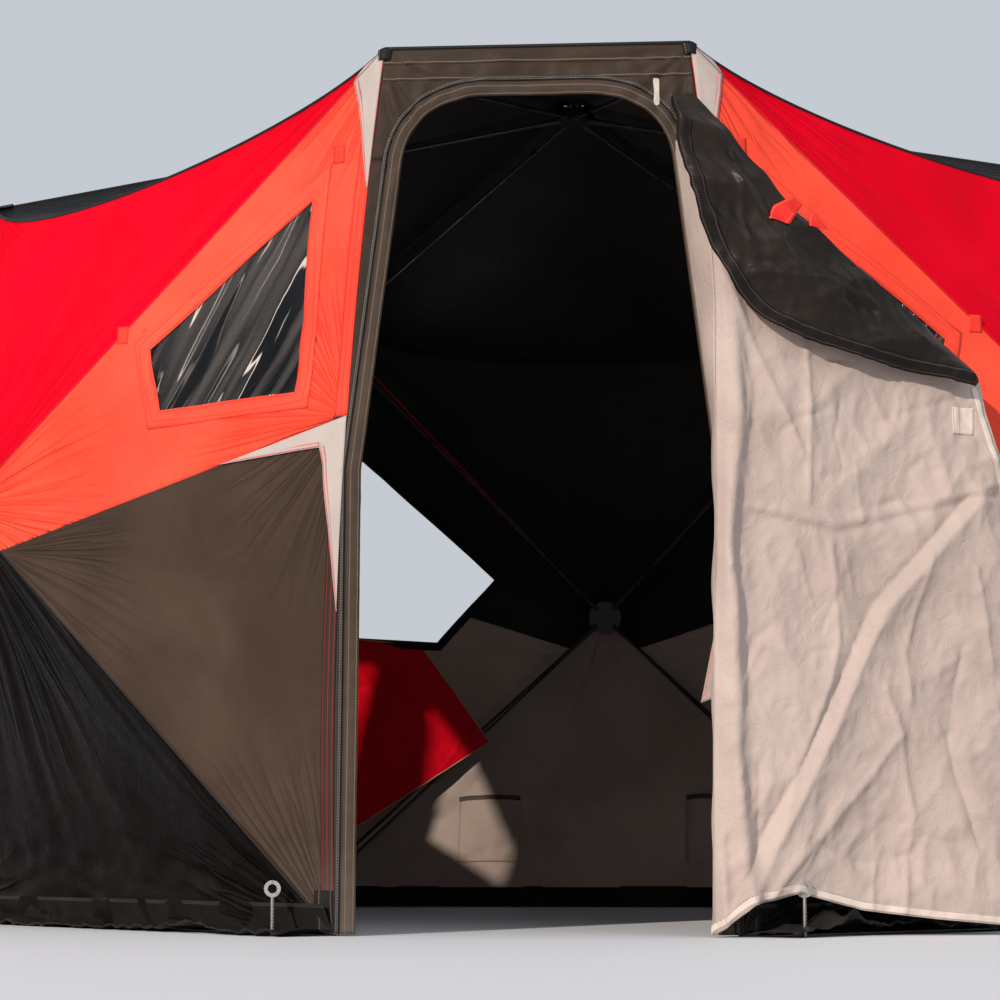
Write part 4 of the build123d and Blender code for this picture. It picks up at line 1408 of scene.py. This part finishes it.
# Rear window: it stands open. Black hook-and-loop tape runs round the opening on both
# sides of the cloth, and the red cover hangs folded down on the inside from its sill,
# with a pale piping sewn round it.
def on_wall(wall, end, places, above):
    """Points of a side panel from places in its plane, lifted with the cut above or below
    the level seam that each place lies on."""
    grid = wall.on_side(end, places)
    seam_ends = np.array((wall.seam_start(end), wall.corner_edge(end, wall.seam_share(end))[0]))
    start, stop = (seam_ends - wall.hub) @ np.column_stack(wall.sideways(end)[:2])
    seam = start[1] + (places[..., 0] - start[0]) * (stop[1] - start[1]) / (stop[0] - start[0])
    over = (places[..., 1] > seam)[..., None]
    cuts = side_cuts[wall.name, end], lower_cuts[wall.name, end]
    return np.where(over, *[cut.lift(grid, above) for cut in cuts])


rear = walls[2]
loops = [ringed(outset(rear_window_places, gap), 24) for gap in (-0.002, 0.026)]
grid, places = tape_grid(*loops)
tapes = [
    (on_wall(rear, 0, grid, above), places, rear.sideways(0)[2]) for above in (0.0018, -0.0030)
]
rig.slot(from_parts("rear_window_tape", tapes, (black_tape,), 0.0012), "dark_cloth")

sill = rear.on_side(0, rear_window_places[1:3])
sill_along = (sill[1] - sill[0]) / np.linalg.norm(sill[1] - sill[0])
inward = np.cross(sill_along, (0.0, 0.0, 1.0))
inward *= -np.sign(inward @ rear.out) / np.linalg.norm(inward)
cover_lean = np.radians(5)
cover_front = inward * np.cos(cover_lean) + np.array((0, 0, 1)) * np.sin(cover_lean)
cover_up = np.cross(cover_front, sill_along)
cover_red = cloth("cover_nylon", rgb(232, 16, 40), rgb(208, 8, 32), gloss=0.1, crinkle=0.4)
cover_back = cloth("cover_back", rgb(60, 52, 46), rgb(44, 38, 34), crinkle=0.4)
cover_edge = cloth("cover_piping", rgb(214, 150, 132), rgb(190, 120, 104), crinkle=0.1)
cover_corners = np.array(((0, 0), (0.320, -0.012), (0.565, -0.330), (0.014, -0.680)))
cover_folds = [
    (((0.02, -0.05), (0.22, -0.20), (0.50, -0.31)), 0.030, 0.012),
    (((0.28, -0.02), (0.20, -0.25), (0.05, -0.60)), 0.026, 0.010),
] + scattered(701, 44, (0.0, -0.60), (0.45, -0.03), long=0.18, width=0.008, size=0.006)


def cover_point(places, above=0.0):
    """A point of the hanging cover: it leans in from the sill, with soft waves and folds
    that grow away from it."""
    loose = eased(-places[..., 1], 0.0, 0.08)
    folds = 0.006 + 0.006 * drift(places, 0.30, 702) + creased(places, cover_folds)
    depth = np.maximum(0.002 + loose * folds + above, 0.001)
    on_plane = sill[0] + places[..., :1] * sill_along + places[..., 1:] * cover_up
    return on_plane + depth[..., None] * cover_front


first, second, third, fourth = cover_corners
places = patch(between(first, second, 60), between(fourth, third, 60), 70)
parts = [(cover_point(places), places, cover_front)]
cover = from_parts("rear_window_cover_cloth", parts, (cover_red, cover_back), 0.0014)
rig.replaces(cover, "rear_window_cover")
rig.slot(cover, "orange_cloth")
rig.sheet(cover, held="hung", rests_on=["rear_lower_cloth"], **flat_size(places))
loop = walk(cover_corners, 0.012, closed=True)
tubes("cover_edging", [cover_point(loop, 0.0016)], 0.0022, cover_edge, "orange_cloth")

# Storage pockets: two flat pockets of the wall's tan lining, stitched on three sides to
# the inside of the rear bottom cloth, with a bound mouth that gapes a little.
pocket_tan = cloth("pocket_tan", rgb(172, 155, 144), rgb(148, 132, 122), roughness=0.7, crinkle=0.5,
                   thread=rgb(112, 96, 88), rows=(0.006, 0.229))
pocket_binding = cloth("pocket_binding", rgb(92, 80, 73), rgb(76, 66, 60), roughness=0.6,
                       crinkle=0.2, thread=rgb(52, 45, 41), rows=(0.004, 0.012))
rear_fall = rear.base.mean(axis=0) - rear.hub
rear_fall /= np.linalg.norm(rear_fall)
pocket_width, pocket_height, pocket_aside, pocket_down = 0.205, 0.235, 0.38, 0.79
half_width, half_height = pocket_width / 2, pocket_height / 2
rear_bottom = bottom_cuts["rear"]
pocket_parts, mouth_parts = [], []
for side in (-1, 1):
    across, down = np.meshgrid(
        np.linspace(-half_width, half_width, 34), np.linspace(-half_height, half_height, 38)
    )
    from_middle = (side * pocket_aside + across)[..., None] * rear.along
    grid = rear.hub + from_middle + (pocket_down + down)[..., None] * rear_fall
    from_side, from_foot = half_width - np.abs(across), half_height - down
    sewn_down = np.minimum(eased(from_side, 0, 0.03), eased(from_foot, 0, 0.03))
    gape = 0.008 * np.cos(across / half_width * np.pi / 2) * eased(down, 0.0, -half_height)
    crumple = 0.0012 * drift(np.stack((across, down), axis=-1), 0.07, 711 + side)
    swell = sewn_down * (0.0045 + crumple) + gape
    inside = rear_bottom.lift(grid) - rear_bottom.normal * (0.0022 + swell)[..., None]
    places = np.stack((down + half_height, across + half_width), axis=-1)
    pocket_parts.append((inside, places, -rear.out))
    grid, places = tape_grid(inside[0], inside[0] + (inside[3] - inside[0]) * 0.9, 3)
    mouth_parts.append((grid - rear.out * 0.0014, places, -rear.out))
pockets = from_parts("storage_pocket_cloth", pocket_parts, (pocket_tan,), 0.0012)
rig.replaces(pockets, "storage_pockets")
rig.slot(pockets, "lining_cloth")
pockets_flat = (2 * pocket_width, pocket_height)
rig.sheet(pockets, flat=pockets_flat, held="stretched", rests_on=["rear_bottom_cloth"])
mouths = from_parts("storage_pocket_mouths", mouth_parts, (pocket_binding,), 0.0010)
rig.slot(mouths, "lining_cloth")

# Ground skirt: a strip of black tarpaulin sewn round the foot of every wall. It covers
# the lowest hand's breadth of the cloth and lies out on the ice in crumples, held by the
# anchors. On the front left wall a stretch has lifted, and a heap lies beside the flap.
skirt_black = cloth("skirt_tarpaulin", rgb(13, 11, 10), rgb(7, 6, 6), roughness=0.38, gloss=0.10,
                    crinkle=0.8, dust=0.06, thread=rgb(60, 56, 52), rows=(0.008, 0.225))
# The profile runs down the cloth, turns on the ice and goes out to the hem
up_run, out_run = 0.072, 0.146
over = np.linspace(0, 1, 22) * (up_run + out_run)
down, flat_out = np.clip(over, 0, up_run), np.clip(over - up_run, 0, out_run)
along = np.linspace(0, 1, 180)
from_tip = np.minimum(along, 1 - along) * wall_length
places = np.stack(np.broadcast_arrays((along * wall_length)[None], over[:, None]), axis=-1)
upright = np.array((0, 0, 1.0))


def bump_at(distance, middle, width, power):
    """A bump along a line of distances: 1 in its middle, dying away over its width."""
    return np.exp(-(np.abs((distance - middle) / width) ** power))


skirt_parts, skirt_area = [], 0.0
for wall in walls:
    up_wall = wall.hub - wall.base.mean(axis=0)
    up_wall /= np.linalg.norm(up_wall)
    foot_line = wall.base[0] * (1, 1, 0) + (wall.base[1] - wall.base[0])[None] * along[:, None]
    climb = up_wall * (up_run - down)[:, None, None]
    ripple = np.abs(drift(places * (1.0, 0.45), 0.11, 721 + wall.number)) * 0.009
    ripple += np.abs(drift(places, 0.045, 731 + wall.number)) * 0.0035
    ripple *= eased(places[..., 1], 0.05, 0.11)
    if wall.name == "front_left":
        lifted_part = bump_at(places[..., 0], 0.36, 0.10, 2)
        ripple += 0.020 * lifted_part * eased(places[..., 1], 0.09, 0.218)
    if wall.name == "front_right":
        from_door = wall_length - places[..., 0]
        heap = 0.060 * bump_at(from_door, 0.20, 0.07, 1) + 0.034 * bump_at(from_door, 0.46, 0.12, 1)
        uneven = 0.75 + 0.25 * drift(places, 0.08, 751)
        ripple += heap * eased(places[..., 1], 0.07, 0.13) * uneven
    grid = foot_line[None] + wall.out * flat_out[:, None, None] + climb + wall.out * 0.0045
    grid = grid + upright * (0.0018 + ripple)[..., None]
    sway = 0.003 * drift(places, 0.20, 741 + wall.number) * eased(from_tip, 0, 0.1)
    skirt_parts.append((grid + wall.out * sway[..., None], places, wall.out + upright))
    skirt_area += wall_length * (up_run + out_run)
skirt = from_parts("ground_skirt_cloth", skirt_parts, (skirt_black,), 0.0012)
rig.replaces(skirt, "ground_skirt")
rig.slot(skirt, "skirt_cloth")
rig.sheet(skirt, flat=(10.0, 0.218), held="laid", rests_on=["ice_anchors"], area=skirt_area)


# Frame: moulded black plastic hubs, and rods of dark pulled fibre with worn ferrules.
# The rods are glossy where hands have polished them and dusty elsewhere.
plastic, place, _ = finish_of("hub_plastic", Specular_IOR_Level=0.45)
grain = place.noise(900.0, 2.0, 0.6)
scuff = place.noise(38.0, 5.0, 0.7, 0.6).step(0.56, 0.72)
worn = (scuff * 0.35).mix(rgb(34, 34, 36), rgb(96, 94, 92))
mould = (grain * 0.5 + scuff * 0.3).bump(0.4, 0.0008)
feed(plastic, Base_Color=worn, Roughness=scuff * 0.22 + 0.36, Normal=mould)

rod, place, _ = finish_of("pole_fibre", Specular_IOR_Level=0.5)
fibre = place.noise(140.0, 3.0, 0.55, 0.2)
polish = place.noise(7.0, 3.0, 0.5).step(0.4, 0.65)
drawn = fibre.step(0.3, 0.7).mix(rgb(30, 29, 30), rgb(62, 60, 60))
feed(rod, Base_Color=drawn, Roughness=polish * 0.25 + 0.24, Normal=fibre.bump(0.3, 0.0006))


def recoat(node, finish):
    """Give a CAD node that shows as it is a finish of its own."""
    mesh = frame["nodes"][node].data
    mesh.materials.clear()
    mesh.materials.append(finish)


for node in ("wall_hubs", "roof_hub"):
    recoat(node, plastic)
for node in ("wall_poles", "roof_poles"):
    recoat(node, rod)

# Ice anchors: bent zinc-plated steel, dull and a little rusty at the eye, screwed into
# the ice through the skirt. The thread is worked out as a thin ridge round the shaft.
steel, place, _ = finish_of("anchor_zinc")
spangle = place.noise(170.0, 4.0, 0.6)
rust = place.noise(46.0, 5.0, 0.68, 0.4).step(0.60, 0.74)
feed(
    steel,
    Base_Color=(rust * 0.7).mix(rgb(138, 136, 134), rgb(104, 74, 54)),
    Metallic=0.88 - rust * 0.7,
    Roughness=spangle.step(0.3, 0.7) * 0.2 + rust * 0.3 + 0.28,
    Normal=spangle.bump(0.3, 0.0008),
)
recoat("ice_anchors", steel)

# Each anchor stands along the wall from a plan corner, and out on the skirt
anchor_along, anchor_out, shaft_radius = 0.1, 0.095, 0.0043
turn = np.linspace(0, 2 * np.pi * 7, 99)
ring = np.column_stack((shaft_radius * np.cos(turn), shaft_radius * np.sin(turn)))
coil = np.column_stack((ring, 0.008 + turn * 0.0011))
threads = []
for wall, end in wall_ends:
    inward = wall.along * (anchor_along if end == 0 else -anchor_along)
    threads.append(wall.base[end] * (1, 1, 0) + inward + wall.out * anchor_out + coil)
tubes("anchor_threads", threads, 0.0011, steel, "anchor_steel", sides=6)

# Black corner caps: a patch of doubled webbing over each top corner, where the roof pole
# and the wall's pole end in their pockets, and black webbing round each foot.
webbing = cloth("webbing", rgb(30, 29, 29), rgb(20, 20, 20), roughness=0.7, crinkle=0.1,
                weave=700.0, thread=rgb(84, 82, 80), rows=(0.004, 0.034))
# A strap climbs each corner from outside, bends over it and runs in on the roof
cap_length, cap_bend = 0.066, 0.024
u, v = np.meshgrid(np.linspace(-1, 1, 17), np.linspace(0, 1, 15))
along, width = v * cap_length, 0.017 - 0.004 * (1 - v) ** 2
places = np.stack((along, (u + 1) * width), axis=-1)
below = np.clip(cap_bend - along, 0, None)[..., None]
above = np.clip(along - cap_bend, 0, None)[..., None]
on_roof = eased(along, 0.016, 0.034)[..., None]
cap_parts = []
for number, corner in enumerate(top_corners):
    out = (corner - peak) * (1, 1, 0)
    out /= np.linalg.norm(out)
    roof_way = (peak - corner) / np.linalg.norm(peak - corner)
    wall_edge = walls[max(number - 1, 0)].corner_edge(min(number, 1), 0.9)[0]
    wall_way = (wall_edge - corner) / np.linalg.norm(wall_edge - corner)
    lift = out * (0.006 * (1 - on_roof)) + upright * (0.005 * on_roof)
    round_off = (u**2 * 0.008)[..., None] * (out * (1 - on_roof) + upright * on_roof)
    grid = corner + below * wall_way + above * roof_way + lift - round_off
    grid = grid + np.cross((0, 0, 1), out) * (u * width)[..., None]
    cap_parts.append((grid, places, out + upright))
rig.slot(from_parts("corner_caps", cap_parts, (webbing,), 0.0022), "dark_cloth")

foot_parts = []
for wall, end in wall_ends:
    level, rise, normal = wall.sideways(end)
    edge = wall.corner_edge(end, np.linspace(0.048, 0.0035, 14))
    grid, places = tape_grid(edge - level * 0.001, edge - level * 0.047, 6)
    buckle = 0.00125 * np.sin(places[..., 0] * 70 + wall.number + end)
    grid = lower_cuts[wall.name, end].lift(grid, 0.0062) + normal * buckle[..., None]
    foot_parts.append((grid, places, normal))
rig.slot(from_parts("corner_foot_webbing", foot_parts, (webbing,), 0.0018), "dark_cloth")

# Pull loops: a loop of the same webbing hangs from each wall hub's cap, to pop the wall
# out with.
turn = np.linspace(-0.35, 2 * np.pi + 0.35, 60)
aside, down = 0.020 * np.sin(turn), 0.052 * np.cos(turn)
loop_parts = []
for wall in walls:
    centre = wall.hub + wall.out * 0.013 - (0, 0, 0.062)
    line = centre + aside[:, None] * wall.along + down[:, None] * (0, 0, 1)
    line = line + wall.out * (0.003 * np.sin(turn / 2))[:, None]
    grid, places = tape_grid(line - wall.out * 0.009, line + wall.out * 0.009)
    loop_parts.append((grid, places, wall.out))
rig.slot(from_parts("hub_pull_loops", loop_parts, (webbing,), offset=0.0), "dark_cloth")

# Stitched tack patches on the orange cloth: they back the tie-down points for guy lines.
patch_cloth = cloth("tack_patch", rgb(224, 64, 48), rgb(206, 50, 38), gloss=0.15, crinkle=0.1,
                    weave=900.0, thread=rgb(206, 44, 38), rows=(0.003, 0.027))
patch_width, half_patch = 0.030, 0.02
patch_parts = []
for wall, end in wall_ends:
    level, rise, normal = wall.sideways(end)
    for across, up in ((0.432, 0.375), (1.005, 0.735)):
        line = through([(across, up + side * half_patch) for side in (-1, 1)], (9,))
        line = wall.on_side(end, line)
        grid, places = tape_grid(line, line + level * patch_width, 6)
        patch_parts.append((side_cuts[wall.name, end].lift(grid, 0.0020), places, normal))
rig.slot(from_parts("tack_patches", patch_parts, (patch_cloth,), 0.0010), "orange_cloth")

# Zipper pull: a pale cord tag, flattened and knurled, hanging on the zipper's slider.
tag, place, uv = finish_of("pull_tag", Specular_IOR_Level=0.3)
knurl = (uv.part(0) * 1500.0).sine() * (uv.part(1) * 1500.0).sine()
worn = place.noise(120.0, 3.0, 0.6) * 0.6 + knurl * 0.2
handled = worn.mix(rgb(198, 192, 180), rgb(120, 113, 104))
feed(tag, Base_Color=handled, Roughness=knurl * 0.1 + 0.55, Normal=knurl.bump(0.5, 0.0012))
u, v = np.meshgrid(np.linspace(-1, 1, 17), np.linspace(0, 1, 41))
# Waisted in the middle, with rounded ends
from_end = np.clip((np.abs(v - 0.5) - 0.42) / 0.085, 0, 1)
half = 0.0068 * (1 - 0.25 * np.sin(np.pi * v) ** 2) * np.sqrt(np.clip(1 - from_end**2, 0.01, 1))
spot = np.stack((0.262 + u * half + 0.002 * np.sin(v * 3), 1.863 - v * 0.061), axis=-1)
front = door_surface(spot, 0.0030 + 0.0012 * (1 - u**2))
places = np.stack((v * 0.062, u * 0.007), axis=-1)
pull = from_parts("zipper_pull_tag", [(front, places, outwards)], (tag,))
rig.replaces(pull, "zipper_pull")
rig.slot(pull, "pull_tag")

# Inner tab of the doorway: a small pointed tab of grey lining, edged with a row of pink
# thread, sewn to the inner side of the right jamb to tie the flap back with.
inner_grey = cloth("inner_tab", rgb(150, 134, 126), rgb(130, 116, 108), crinkle=0.3,
                   thread=rgb(214, 96, 104), rows=(0.005,))
tip_line = through(((0.392, 0.702), (0.349, 0.492)), (26,))
seam_line = through(((0.394, 0.700), (0.394, 0.508)), (26,))
grid, places = tape_grid(tip_line, seam_line, 8)
curl = -0.014 - 0.012 * (0.394 - grid[..., 0]) / 0.045 + 0.002 * drift(places, 0.05, 761)
parts = [(door_surface(grid, curl), places, outwards)]
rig.slot(from_parts("doorway_inner_tab", parts, (inner_grey,), 0.0014), "lining_cloth")

full_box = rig.bounds()
with open("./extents.json", "w") as sizes:
    json.dump({"cad": [list(map(float, corner)) for corner in cad_box], "dressed": [list(map(float, corner)) for corner in full_box]}, sizes)
